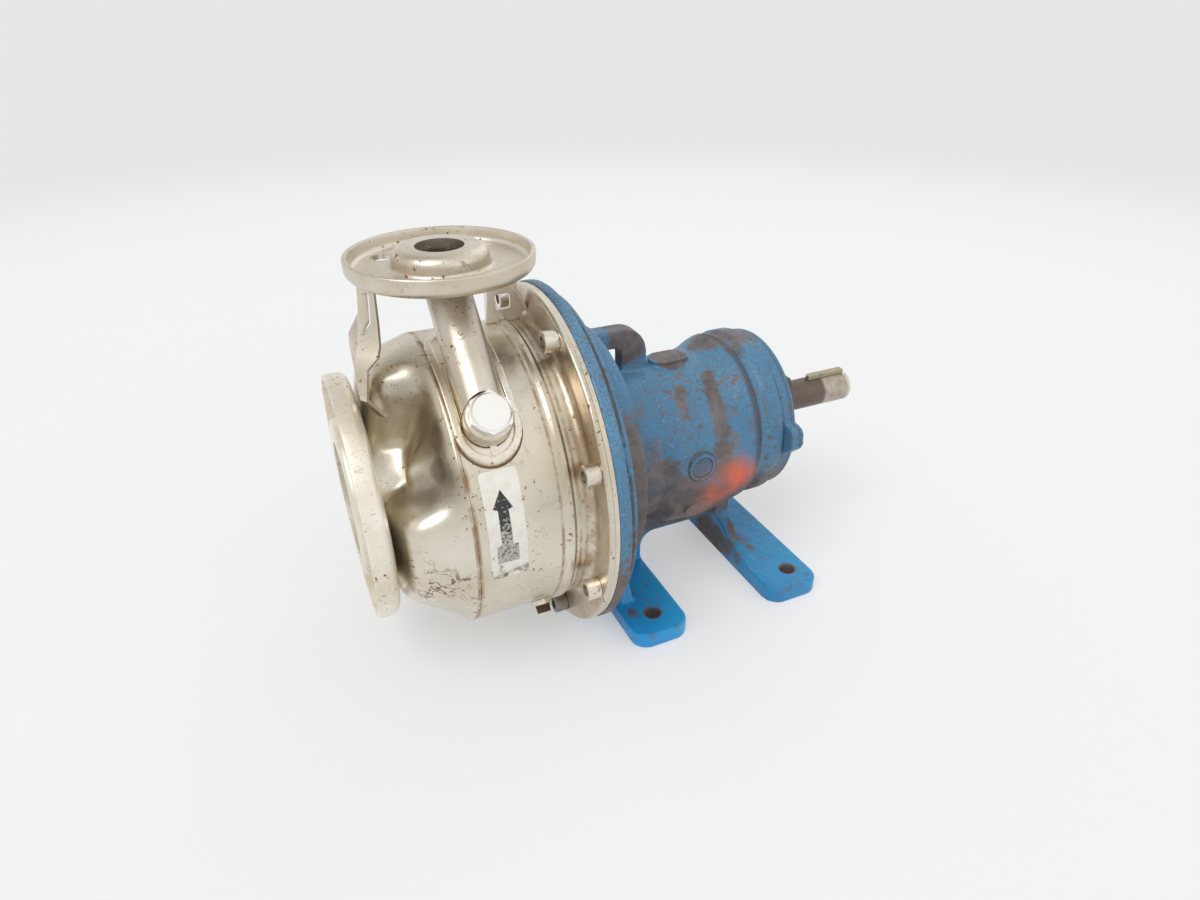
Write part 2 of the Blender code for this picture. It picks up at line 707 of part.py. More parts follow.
def discharge_saddle():
    half_width = SADDLE_WIDTH / 2
    half_turn = radians((SADDLE_TOP_ANGLE - SADDLE_LOW_ANGLE) / 2)
    half_length = (BARREL_RADIUS + SADDLE_THICKNESS) * sin(half_turn)
    inner = BARREL_RADIUS + SEAT_GAP
    outer = BARREL_RADIUS + SADDLE_THICKNESS
    low = DISCHARGE_X - SADDLE_WIDTH
    high = DISCHARGE_X + SADDLE_WIDTH
    loop = [(low, inner), (low, outer), (high, outer), (high, inner)]
    made = turned("discharge_saddle", loop, RIM_FACETS, steel)
    keep_inside(made, obround("saddle_outline", half_length, half_width))
    pocket = obround("saddle_pocket", half_length - SADDLE_LIP, half_width - SADDLE_LIP)
    cut(pocket, barrel_solid("saddle_floor", inner + SADDLE_FLOOR))
    return cut(made, pocket, tube_rod("saddle_tube", TUBE_RADIUS + SEAT_GAP, 0, 0.8 * BARREL_RADIUS, 24),
               boss_space("saddle_boss"))


def gauge_tap():
    loop = [(BARREL_RADIUS - 0.01, BOSS_THREAD_RADIUS), (BARREL_RADIUS - 0.01, BOSS_RADIUS),
            (BOSS_TOP_RADIUS, BOSS_RADIUS), (BOSS_TOP_RADIUS, BOSS_THREAD_RADIUS)]
    boss = turned("gauge_boss", rounded([loop[0], loop[1], (*loop[2], 0.0025), loop[3]]),
                  SMALL_FACETS, steel)
    point_along(boss, (DISCHARGE_X, 0, 0), radial(TUBE_FOOT_ANGLE))
    cut(boss, barrel_solid("boss_barrel", BARREL_RADIUS + SEAT_GAP))
    seat = BOSS_TOP_RADIUS + SEAT_GAP
    crown = seat + PLUG_HEAD_HEIGHT
    plug = prism("gauge_plug", polygon(6, PLUG_ACROSS_FLATS, radians(20)), seat,
                 crown - 0.0012, "YZ", bright_steel)
    point_along(plug, (DISCHARGE_X, 0, 0), radial(TUBE_FOOT_ANGLE))
    face = PLUG_ACROSS_FLATS / 2
    crown_disc = turned("plug_crown", [(crown - 0.002, 0), (crown - 0.002, face + 0.0006),
                                       (crown - 0.0012, face), (crown, face - 0.0012),
                                       (crown, 0)], SMALL_FACETS)
    point_along(crown_disc, (DISCHARGE_X, 0, 0), radial(TUBE_FOOT_ANGLE))
    shank = boss_rod("plug_shank", BOSS_THREAD_RADIUS - SEAT_GAP, seat - 0.0125, seat + 0.002, 20)
    return boss, fuse(plug, crown_disc, shank)


def drain_tap():
    low = BARREL_RADIUS - 0.004
    top = BARREL_RADIUS + DRAIN_BOSS_HEIGHT
    loop = [(low, DRAIN_THREAD_RADIUS + SEAT_GAP), (low, DRAIN_BOSS_RADIUS),
            (top, DRAIN_BOSS_RADIUS), (top, DRAIN_THREAD_RADIUS + SEAT_GAP)]
    boss = turned("drain_boss", loop, 16, steel)
    point_along(boss, (DRAIN_X, 0, 0), radial(DRAIN_ANGLE))
    cut(boss, barrel_envelope("drain_barrel"))
    seat = top + SEAT_GAP
    plug = prism("drain_plug", polygon(4, DRAIN_PLUG_SIDE), seat + 0.002,
                 seat + DRAIN_PLUG_HEIGHT, "YZ", rusty_steel)
    point_along(plug, (DRAIN_X, 0, 0), radial(DRAIN_ANGLE))
    shank = turned("drain_shank", [(low, 0), (low, DRAIN_THREAD_RADIUS), (seat, DRAIN_THREAD_RADIUS),
                                   (seat, DRAIN_PLUG_SIDE * 0.75), (seat + 0.0022, DRAIN_PLUG_SIDE * 0.75),
                                   (seat + 0.0022, 0)], 16)
    point_along(shank, (DRAIN_X, 0, 0), radial(DRAIN_ANGLE))
    return boss, fuse(plug, shank)


def place_copies(first, name, places):
    """Puts the first object at the first (y, z) place, and a copy of it at each other place."""
    for index, (y, z) in enumerate(places):
        item = first if index == 0 else first.copy()
        item.name = f"{name}_{index + 1}"
        item.location = (0, y, z)
        if index:
            bpy.context.scene.collection.objects.link(item)


def casing_screws():
    """Socket-head screws that hold the casing and the seal plate to the adapter."""
    seat = RING_FACE_X - SEAT_GAP
    front = seat - SCREW_HEAD_LENGTH
    loop = [(front + SCREW_SOCKET_DEPTH, 0), (front + SCREW_SOCKET_DEPTH, SCREW_SOCKET_RADIUS),
            (front, SCREW_SOCKET_RADIUS), (front, SCREW_HEAD_RADIUS - 0.0006),
            (front + 0.0006, SCREW_HEAD_RADIUS), (seat, SCREW_HEAD_RADIUS),
            (seat, SCREW_SHANK_RADIUS), (seat + SCREW_SHANK_LENGTH, SCREW_SHANK_RADIUS),
            (seat + SCREW_SHANK_LENGTH, 0)]
    first = turned("casing_screw", loop, SCREW_FACETS, bright_steel)
    place_copies(first, "casing_screw", circle_places(SCREW_COUNT, SCREW_CIRCLE, 180 / SCREW_COUNT))


def front_stay():
    """Folded stay between the front of the discharge flange and the shoulder of the volute."""
    top = DISCHARGE_FLOOR - SEAT_GAP
    x = FRONT_STAY_X
    rows = [
        (top, (x + 0.0010, 0.0140), (x - 0.0020, -0.0040), (x + 0.0070, -0.0120)),
        (top - 0.0270, (x - 0.0020, 0.0140), (x - 0.0040, -0.0040), (x + 0.0060, -0.0130)),
        (top - 0.0400, (x - 0.0110, 0.0115), (x - 0.0080, -0.0065), (x + 0.0040, -0.0205)),
        (top - 0.0470, (x - 0.0125, 0.0045), (x - 0.0110, -0.0125), (x + 0.0010, -0.0245)),
        (top - 0.0550, (x - 0.0130, -0.0060), (x - 0.0140, -0.0170), (x - 0.0070, -0.0235)),
        (top - 0.0755, (x - 0.0130, -0.0150), (x - 0.0142, -0.0230), (x - 0.0110, -0.0275)),
        (top - 0.0900, (x - 0.0030, -0.0160), (x - 0.0040, -0.0240), (x - 0.0000, -0.0280))]
    mesh_data = bmesh.new()
    grid = [[mesh_data.verts.new((u, v, z)) for u, v in places] for z, *places in rows]
    for here, there in zip(grid, grid[1:]):
        for column in range(2):
            mesh_data.faces.new((here[column], there[column], there[column + 1], here[column + 1]))
    made = add_object("front_stay", mesh_data, steel)
    wall = made.modifiers.new("sheet", "SOLIDIFY")
    wall.thickness = STAY_SHEET
    wall.offset = 0
    wall.use_even_offset = True
    trim = rod("front_stay_trim", top, top + 0.02, 0.06)
    point_along(trim, (x, 0, 0), (0, 0, 1))
    slot = prism("front_stay_slot", rounded([(-0.0105, top - 0.0350, 0.0016), (-0.0070, top - 0.0350, 0.0016),
                                             (-0.0070, top - 0.0060, 0.0016), (-0.0105, top - 0.0060, 0.0016)]),
                 x - 0.02, x + 0.02, "YZ")
    return cut(made, trim, slot, volute_surface("front_stay_seat", SEAT_GAP, True))


def rear_stay():
    """Stay between the discharge flange, the top of the barrel and the mounting ring."""
    top = DISCHARGE_FLOOR - SEAT_GAP
    low = BARREL_RADIUS - 0.0100
    y = REAR_STAY_Y
    front = REAR_STAY_X - REAR_STAY_WIDTH / 2
    rear = REAR_STAY_X + REAR_STAY_WIDTH / 2
    shelf = BARREL_RADIUS + 0.0050
    shoulder = top - 0.0290
    wall = RING_FACE_X + 0.0012
    outline = rounded([(front - 0.0030, low), (front + 0.0030, top), (rear, top),
                       (rear, shoulder, 0.004), (wall, shelf, 0.002), (wall, low)])
    blade = prism("rear_stay", outline, y - STAY_SHEET / 2, y + STAY_SHEET / 2, "XZ", steel)
    half = REAR_STAY_WINDOW / 2
    window = prism("rear_stay_window", rounded([
        (REAR_STAY_X - half, top - 0.0290, 0.002), (REAR_STAY_X + half, top - 0.0290, 0.002),
        (REAR_STAY_X + half, top - 0.0410, 0.002), (REAR_STAY_X - half, top - 0.0410, 0.002)]),
        y - 0.01, y + 0.01, "XZ")
    tab = prism("rear_stay_tab", [(rear - 0.0030, shoulder + 0.0015), (rear - 0.0010, shoulder + 0.0030),
                                  (wall - 0.0012, shelf + 0.0042), (wall - 0.0032, shelf + 0.0027)],
                y - REAR_STAY_TAB, y, "XZ")
    wing = prism("rear_stay_wing", [(y, low), (y, top), (y + 0.0160, top), (y + 0.0200, low)],
                 front + 0.0032, front + 0.0032 + STAY_SHEET, "YZ")
    return cut(fuse(blade, wing, tab), window, barrel_envelope("rear_stay_seat"))


def frame_outline(radius, drop, sump, angle):
    """Radius of the casting: a round body with the oil sump hanging below the axis."""
    if sump <= 0:
        return radius
    lean = -drop * sin(radians(angle))
    lower = lean + sqrt(lean * lean - drop * drop + sump * sump)
    power = 24
    biggest = max(radius, lower)
    total = (radius / biggest) ** power + (lower / biggest) ** power
    return biggest * total ** (1 / power)


def frame_stations():
    """(x, body radius, sump drop, sump radius) from the adapter disc to the drum's rear."""
    rim = ADAPTER_RIM
    deep = ADAPTER_DEPTH
    bell = BELL_REAR_X
    neck = NECK_RADIUS
    drum = DRUM_RADIUS
    front = DRUM_FRONT_X
    half = (bell + front) / 2
    return [
        (0.0, ADAPTER_RADIUS, 0, 0),
        (rim - 0.0012, ADAPTER_RADIUS, 0, 0),
        (rim, ADAPTER_RADIUS - 0.0015, 0, 0),
        (rim + 0.0002, ADAPTER_STEP_RADIUS, 0, 0),
        (deep - 0.0015, ADAPTER_STEP_RADIUS, 0, 0),
        (deep, ADAPTER_STEP_RADIUS - 0.0020, 0, 0),
        (deep + 0.0010, BELL_RADIUS + 0.0130, 0, 0),
        (deep + 0.0050, BELL_RADIUS + 0.0040, 0, 0),
        (deep + 0.0110, BELL_RADIUS, 0, 0),
        (bell - 0.0020, BELL_RADIUS - 0.0010, 0, 0),
        (bell, BELL_RADIUS - 0.0035, 0, 0),
        (bell + 0.0030, BELL_RADIUS - 0.0200, 0, 0),
        (bell + 0.0080, neck + 0.0080, 0.0030, neck + 0.0040),
        (bell + 0.0180, neck + 0.0040, 0.0060, neck + 0.0040),
        (half - 0.0250, neck + 0.0010, SUMP_DROP * 0.65, SUMP_RADIUS - 0.0080),
        (half - 0.0120, neck, SUMP_DROP * 0.92, SUMP_RADIUS - 0.0015),
        (half + 0.0240, neck, SUMP_DROP, SUMP_RADIUS),
        (front - 0.0200, neck + 0.0010, SUMP_DROP * 0.85, SUMP_RADIUS - 0.0010),
        (front - 0.0110, neck + 0.0060, SUMP_DROP * 0.75, SUMP_RADIUS - 0.0015),
        (front - 0.0040, drum - 0.0020, SUMP_DROP * 0.62, SUMP_RADIUS - 0.0020),
        (front + 0.0030, drum + 0.0006, SUMP_DROP * 0.40, SUMP_RADIUS - 0.0025),
        (front + 0.0070, drum - 0.0024, SUMP_DROP * 0.20, SUMP_RADIUS - 0.0045),
        (front + 0.0115, drum - 0.0024, 0, drum - 0.0024),
        (front + 0.0145, drum, 0, drum),
        (FRAME_REAR_X, drum, 0, drum),
    ]


def frame_body():
    around = RIM_FACETS
    mesh_data = bmesh.new()
    rings = []
    for x, radius, drop, sump in frame_stations():
        ring = []
        for step in range(around):
            angle = 360 * step / around
            spot = radial(angle) * frame_outline(radius, drop, sump, angle)
            ring.append(mesh_data.verts.new((x, spot.y, spot.z)))
        rings.append(ring)
    for here, there in zip(rings, rings[1:]):
        for step in range(around):
            other = (step + 1) % around
            mesh_data.faces.new((here[step], there[step], there[other], here[other]))
    mesh_data.faces.new(rings[0])
    mesh_data.faces.new(rings[-1])
    return add_object("bearing_frame", mesh_data, blue_paint)


def foot_outline(middle, width):
    low = middle - width / 2
    high = middle + width / 2
    end = FOOT_SPAN / 2
    return rounded([(low, -end, FOOT_CORNER), (high, -end, FOOT_CORNER),
                    (high, end, FOOT_CORNER), (low, end, FOOT_CORNER)])


def frame_feet():
    table = -AXIS_HEIGHT
    top = table + FOOT_THICKNESS
    inside = top - 0.0040
    front_edge = FRONT_FOOT_X + FRONT_FOOT_WIDTH / 2
    rear_edge = REAR_FOOT_X - REAR_FOOT_WIDTH / 2
    arch = table + ARCH_HEIGHT
    wall = BELL_REAR_X - 0.0040
    front_foot = prism("front_foot", foot_outline(FRONT_FOOT_X, FRONT_FOOT_WIDTH), table, top, "XY")
    rear_foot = prism("rear_foot", foot_outline(REAR_FOOT_X, REAR_FOOT_WIDTH), table, top, "XY")
    sump_wall = -(SUMP_DROP + SUMP_RADIUS - 0.0070)
    web = prism("web", rounded([
        (wall, inside), (wall, -(BELL_RADIUS - 0.0120)), (wall + 0.0110, sump_wall),
        (DRUM_FRONT_X + 0.0120, sump_wall + 0.0150), (rear_edge + 0.0120, -DRUM_RADIUS + 0.0080),
        (rear_edge + 0.0120, inside), (rear_edge + 0.0005, inside),
        (rear_edge + 0.0005, arch, 0.0140), (front_edge - 0.0005, arch, 0.0140),
        (front_edge - 0.0005, inside)]), -WEB_WIDTH / 2, WEB_WIDTH / 2, "XZ")
    front_rib = prism("front_rib", [
        (-FRONT_RIB_FOOT, inside), (-FRONT_RIB_FOOT * 0.6, 0.0100 - BELL_RADIUS),
        (FRONT_RIB_FOOT * 0.6, 0.0100 - BELL_RADIUS), (FRONT_RIB_FOOT, inside)],
        wall + 0.0004, wall + 0.0004 + RIB_THICKNESS, "YZ")
    waist = table + RIB_WAIST_HEIGHT
    half = blend(RIB_WAIST, RIB_FOOT, 0.5)
    rib = [(RIB_WAIST - 0.0010, 0.0080 - DRUM_RADIUS), (RIB_WAIST, waist + 0.0080),
           (RIB_WAIST + 0.0050, waist), (half, blend(waist, top, 0.60)), (RIB_FOOT, top), (RIB_FOOT, inside)]
    rear_rib = prism("rear_rib", [(-y, z) for y, z in rib] + rib[::-1],
                     rear_edge + 0.0004, rear_edge + 0.0004 + RIB_THICKNESS, "YZ")
    return front_foot, rear_foot, web, front_rib, rear_rib


def lifting_eye():
    inner = EYE_REAR_X - EYE_THICKNESS
    under = EYE_TOP - 0.0160
    start = BELL_REAR_X - 0.0020
    low = NECK_RADIUS - 0.0080
    outline = rounded([
        (start, under), (start, EYE_TOP), (EYE_REAR_X, EYE_TOP, EYE_BEND), (EYE_REAR_X, low),
        (inner, low), (inner, under, EYE_HOLE_RADIUS)])
    return prism("lifting_eye", outline, -EYE_WIDTH / 2, EYE_WIDTH / 2, "XZ")


def top_boss():
    half = TOP_BOSS_LENGTH / 2
    wide = TOP_BOSS_WIDTH / 2
    outline = rounded([(TOP_BOSS_X - half, -wide, wide * 0.98), (TOP_BOSS_X + half, -wide, wide * 0.98),
                       (TOP_BOSS_X + half, wide, wide * 0.98), (TOP_BOSS_X - half, wide, wide * 0.98)])
    return prism("top_boss", outline, NECK_RADIUS - 0.0100, TOP_BOSS_HEIGHT, "XY")


def sump_pad():
    """A low round pad on the near lower side of the sump."""
    made = rod("sump_pad", SUMP_RADIUS - 0.0060, SUMP_RADIUS + SUMP_PAD_RISE, SUMP_PAD_RADIUS)
    return point_along(made, (SUMP_PAD_X, 0, -SUMP_DROP), radial(SUMP_PAD_ANGLE))


def casting_mark():
    """A plain raised ring on the near side of the sump."""
    skin = frame_outline(NECK_RADIUS, SUMP_DROP, SUMP_RADIUS, 0)
    loop = [(skin - 0.0040, MARK_RADIUS - 0.0032), (skin + 0.0012, MARK_RADIUS - 0.0028),
            (skin + 0.0012, MARK_RADIUS - 0.0004), (skin - 0.0040, MARK_RADIUS)]
    made = turned("casting_mark", loop, 20)
    return point_along(made, (MARK_X, 0, -0.0020), (0, -1, 0))


def frame_hollow():
    """Everything the casting is open to inside, turned about the shaft."""
    bore = INBOARD_OUTER_RADIUS + SEAT_GAP
    wall = BELL_RADIUS - BELL_WALL
    inboard_end = INBOARD_X + INBOARD_WIDTH
    seal_end = FRAME_SEAL_X + LIP_SEAL_WIDTH + SEAT_GAP
    shoulder = OUTBOARD_X - SEAT_GAP
    outboard_bore = OUTBOARD_OUTER_RADIUS + SEAT_GAP
    loop = [
        (-0.01, 0), (-0.01, wall), (BELL_REAR_X - 0.0140, wall),
        (BELL_REAR_X - 0.0060, wall - 0.0120), (BELL_REAR_X - 0.0010, LIP_SEAL_RADIUS + 0.0200),
        (FRAME_SEAL_X - SEAT_GAP, LIP_SEAL_RADIUS + 0.0120),
        (FRAME_SEAL_X - SEAT_GAP, LIP_SEAL_RADIUS + SEAT_GAP),
        (seal_end, LIP_SEAL_RADIUS + SEAT_GAP), (seal_end, LIP_SEAL_RADIUS - 0.0020),
        (INBOARD_X - SEAT_GAP, LIP_SEAL_RADIUS - 0.0020), (INBOARD_X - SEAT_GAP, bore),
        (inboard_end + 0.0020, bore), (inboard_end + 0.0020, OIL_SPACE_RADIUS),
        (shoulder - 0.0080, OIL_SPACE_RADIUS), (shoulder - 0.0080, OUTBOARD_OUTER_RADIUS - 0.0050),
        (shoulder, OUTBOARD_OUTER_RADIUS - 0.0050), (shoulder, outboard_bore),
        (FRAME_REAR_X + 0.01, outboard_bore), (FRAME_REAR_X + 0.01, 0)]
    hollow = turned("frame_hollow", loop, BODY_FACETS)
    pocket_start = INBOARD_X + INBOARD_WIDTH + 0.0120
    pocket_end = DRUM_FRONT_X - 0.0140
    reach = SUMP_RADIUS - SUMP_WALL
    pocket = turned("sump_pocket", [(pocket_start, 0), (pocket_start, reach), (pocket_end, reach),
                                    (pocket_end, 0)], SMALL_FACETS, None, pi / SMALL_FACETS)
    pocket.location = (0, 0, -SUMP_DROP)
    return hollow, pocket


def bearing_frame():
    body = frame_body()
    fuse(body, *frame_feet(), lifting_eye(), top_boss(), casting_mark(), sump_pad())
    tapped = circle_places(SCREW_COUNT, SCREW_CIRCLE, 180 / SCREW_COUNT)
    rear_tapped = circle_places(COVER_SCREW_COUNT, COVER_SCREW_CIRCLE, 45)
    seat = RING_FACE_X - SEAT_GAP
    foot_holes = bmesh.new()
    for x in (FRONT_FOOT_X, REAR_FOOT_X + REAR_HOLE_SHIFT):
        for side in (-1, 1):
            outline = [(x + u, side * FOOT_HOLE_SPAN / 2 + v)
                       for u, v in polygon(16, 2 * FOOT_HOLE_RADIUS)]
            prism_into(foot_holes, outline, -AXIS_HEIGHT - 0.01,
                       -AXIS_HEIGHT + FOOT_THICKNESS + 0.01, "XY")
    return cut(
        body, *frame_hollow(),
        drill_set("screw_taps", tapped, SCREW_SHANK_RADIUS + SEAT_GAP, -0.01,
                  seat + SCREW_SHANK_LENGTH + 0.001),
        drill_set("cover_taps", rear_tapped, COVER_SCREW_SHANK + SEAT_GAP,
                  FRAME_REAR_X - COVER_SCREW_REACH - 0.001, FRAME_REAR_X + 0.01),
        add_object("foot_holes", foot_holes, None))


def bearing_cover():
    recess = OUTBOARD_OUTER_RADIUS - 0.0060
    seal_front = COVER_SEAL_X - SEAT_GAP
    loop = rounded([
        (COVER_X, recess), (COVER_X, COVER_RADIUS, 0.0008),
        (COVER_X + COVER_FLANGE, COVER_RADIUS, 0.0020), (COVER_X + COVER_FLANGE, COVER_HUB_RADIUS, 0.002),
        (COVER_REAR_X, COVER_HUB_RADIUS, 0.0025), (COVER_REAR_X, LIP_SEAL_RADIUS + SEAT_GAP),
        (seal_front, LIP_SEAL_RADIUS + SEAT_GAP), (seal_front, SEAL_RADIUS + 0.0040),
        (seal_front - 0.0030, SEAL_RADIUS + 0.0040), (seal_front - 0.0030, recess)])
    made = turned("bearing_cover", loop, RIM_FACETS, blue_paint)
    mesh_data = bmesh.new()
    for turn in (0, 180):
        outline = []
        for angle, reach, fillet in ((EAR_ANGLE - 17, COVER_RADIUS - 0.006, 0),
                                     (EAR_ANGLE - 15, COVER_RADIUS - 0.0004, 0.004),
                                     (EAR_ANGLE - 5, EAR_REACH, EAR_TIP_RADIUS),
                                     (EAR_ANGLE + 6, EAR_REACH, EAR_TIP_RADIUS),
                                     (EAR_ANGLE + 9, COVER_RADIUS - 0.0004, 0.003),
                                     (EAR_ANGLE + 12, COVER_RADIUS - 0.006, 0)):
            spot = radial(angle + turn) * reach
            outline.append((spot.y, spot.z, fillet))
        prism_into(mesh_data, rounded(outline), COVER_X + 0.0012, COVER_X + COVER_FLANGE - 0.0006, "YZ")
    ears = add_object("cover_ears", mesh_data, None)
    places = circle_places(COVER_SCREW_COUNT, COVER_SCREW_CIRCLE, 45)
    return cut(fuse(made, ears), drill_set("cover_holes", places, COVER_SCREW_SHANK + SEAT_GAP,
                                           COVER_X - 0.01, COVER_REAR_X + 0.01))


def cover_gasket():
    bore = OUTBOARD_OUTER_RADIUS + 0.0010
    loop = [(GASKET_X, bore), (GASKET_X, COVER_RADIUS - 0.0012),
            (GASKET_X + GASKET_THICKNESS, COVER_RADIUS - 0.0012), (GASKET_X + GASKET_THICKNESS, bore)]
    made = turned("cover_gasket", loop, RIM_FACETS, gasket_paper)
    places = circle_places(COVER_SCREW_COUNT, COVER_SCREW_CIRCLE, 45)
    return cut(made, drill_set("gasket_holes", places, COVER_SCREW_SHANK + SEAT_GAP,
                               GASKET_X - 0.01, GASKET_X + 0.01))


def cover_screws():
    """Hexagon screws in the cover's hub."""
    mesh_data = bmesh.new()
    seat = COVER_REAR_X + SEAT_GAP
    head = polygon(6, COVER_SCREW_FLATS)
    shank = polygon(6, COVER_SCREW_SHANK * 2 * cos(pi / 6))
    levels = [(FRAME_REAR_X - COVER_SCREW_REACH, shank), (seat, shank), (seat, head),
              (seat + COVER_SCREW_HEAD, head)]
    rings = [[mesh_data.verts.new((x, u, v)) for u, v in ring] for x, ring in levels]
    for here, there in zip(rings, rings[1:]):
        for side in range(6):
            other = (side + 1) % 6
            mesh_data.faces.new((here[side], there[side], there[other], here[other]))
    mesh_data.faces.new(rings[0])
    mesh_data.faces.new(rings[-1])
    first = add_object("cover_screw", mesh_data, dark_steel)
    place_copies(first, "cover_screw", circle_places(COVER_SCREW_COUNT, COVER_SCREW_CIRCLE, 45))


def seal_plate():
    """Pressed back plate: dished behind the impeller, with a pocket for the shaft seal."""
    sheet = PLATE_SHEET
    dish = PLATE_DISH_RADIUS
    chamber = SEAL_CHAMBER_RADIUS
    end = SEAL_CHAMBER_END_X
    rear = PLATE_FACE_X + sheet
    loop = rounded([
        (PLATE_FACE_X, RING_RADIUS - 0.0010), (PLATE_FACE_X, dish),
        (PLATE_DISH_X, dish, 0.0080), (PLATE_DISH_X, chamber, 0.0030), (end, chamber),
        (end, SEAL_BORE_RADIUS), (end + sheet, SEAL_BORE_RADIUS),
        (end + sheet, chamber + sheet, 0.0030), (PLATE_DISH_X + sheet, chamber + sheet),
        (PLATE_DISH_X + sheet, dish - sheet, 0.0050), (rear, dish - sheet),
        (rear, RING_RADIUS - 0.0010)])
    made = turned("seal_plate", loop, RIM_FACETS, steel)
    places = circle_places(SCREW_COUNT, SCREW_CIRCLE, 180 / SCREW_COUNT)
    return cut(made, drill_set("plate_holes", places, SCREW_SHANK_RADIUS + SEAT_GAP,
                               PLATE_FACE_X - 0.01, rear + 0.01))


def ring_loop(x, radius, half_x, half_radius, sides):
    angles = [2 * pi * side / sides for side in range(sides)]
    return [(x + half_x * cos(angle), radius + half_radius * sin(angle)) for angle in angles]


def casing_o_ring():
    inside = PLATE_DISH_RADIUS + SEAT_GAP
    outside = BARREL_RADIUS - SHEET - SEAT_GAP
    section = (outside - inside) / 2
    x = PLATE_FACE_X - SEAT_GAP - section
    return turned("casing_o_ring", ring_loop(x, (inside + outside) / 2, section, section, 6),
                  RIM_FACETS, rubber)


def seal_parts():
    """Mechanical seal: ceramic seat in the plate's pocket, head and spring on the sleeve."""
    seat_bore = SLEEVE_RADIUS + RUNNING_GAP
    seat_edge = SEAL_CHAMBER_RADIUS - SEAT_GAP
    seat_end = SEAT_X + SEAT_LENGTH
    seat_loop = [
        (SEAT_X, seat_bore), (SEAT_X, SEAL_HEAD_RADIUS), (SEAT_X + 0.0020, SEAL_HEAD_RADIUS),
        (SEAT_X + 0.0020, seat_edge), (seat_end, seat_edge), (seat_end, seat_bore)]
    turned("seal_seat", seat_loop, BODY_FACETS, ceramic)
    head_end = HEAD_X + SEAL_HEAD_LENGTH
    head_bore = SLEEVE_RADIUS + SEAT_GAP
    head_loop = [(HEAD_X, head_bore), (HEAD_X, SEAL_HEAD_RADIUS), (head_end - 0.0030, SEAL_HEAD_RADIUS),
                 (head_end - 0.0030, SEAL_HEAD_RADIUS - 0.0025), (head_end, SEAL_HEAD_RADIUS - 0.0025),
                 (head_end, head_bore)]
    turned("seal_head", head_loop, BODY_FACETS, carbon)
    front = SLEEVE_FRONT_X + 0.0010 + SPRING_WIRE
    rear = HEAD_X - SEAT_GAP - SPRING_WIRE
    curve = bpy.data.curves.new("seal_spring", "CURVE")
    curve.dimensions = "3D"
    curve.bevel_depth = SPRING_WIRE
    curve.bevel_resolution = 0
    curve.use_fill_caps = True
    spline = curve.splines.new("POLY")
    marks = SPRING_TURNS * SPRING_STEPS
    spline.points.add(marks)
    for mark in range(marks + 1):
        turn = 2 * pi * mark / SPRING_STEPS
        spline.points[mark].co = (blend(front, rear, mark / marks), SPRING_RADIUS * cos(turn),
                                  SPRING_RADIUS * sin(turn), 1)
    curve.materials.append(bright_steel)
    spring = bpy.data.objects.new("seal_spring", curve)
    bpy.context.scene.collection.objects.link(spring)
    spring.parent = datum


def shaft_sleeve():
    bore = SLEEVE_SEAT_RADIUS + SEAT_GAP
    loop = [(SLEEVE_FRONT_X, bore), (SLEEVE_FRONT_X, SLEEVE_RADIUS - 0.0006),
            (SLEEVE_FRONT_X + 0.0006, SLEEVE_RADIUS), (SLEEVE_END_X - 0.0006, SLEEVE_RADIUS),
            (SLEEVE_END_X, SLEEVE_RADIUS - 0.0006), (SLEEVE_END_X, bore)]
    return turned("shaft_sleeve", loop, BODY_FACETS, bright_steel)


def oil_slinger():
    bore = SEAL_RADIUS + SEAT_GAP
    end = SLINGER_X + SLINGER_WIDTH
    loop = [(SLINGER_X, bore), (SLINGER_X, SLINGER_RADIUS), (SLINGER_X + 0.0015, SLINGER_RADIUS),
            (SLINGER_X + 0.0020, bore + 0.0035), (end, bore + 0.0030), (end, bore)]
    return turned("slinger", loop, BODY_FACETS, rubber)


def lip_seal(name, x):
    lip = SEAL_RADIUS + RUNNING_GAP
    end = x + LIP_SEAL_WIDTH
    edge = LIP_SEAL_RADIUS
    loop = [(x, lip + 0.0020), (x, edge), (end, edge), (end, edge - 0.0024),
            (x + 0.0026, edge - 0.0026), (x + 0.0034, lip + 0.0030), (end - 0.0020, lip)]
    return turned(name, loop, BODY_FACETS, rubber)


def groove_arc(x, pitch, radius, land, side):
    """Race groove seen in section, from one land to the other."""
    reach = sqrt(radius * radius - land * land)
    start = atan2(land, -reach)
    finish = atan2(land, reach)
    angles = [blend(start, finish, step / 3) for step in range(4)]
    return [(x + radius * cos(angle), pitch + side * radius * sin(angle)) for angle in angles]


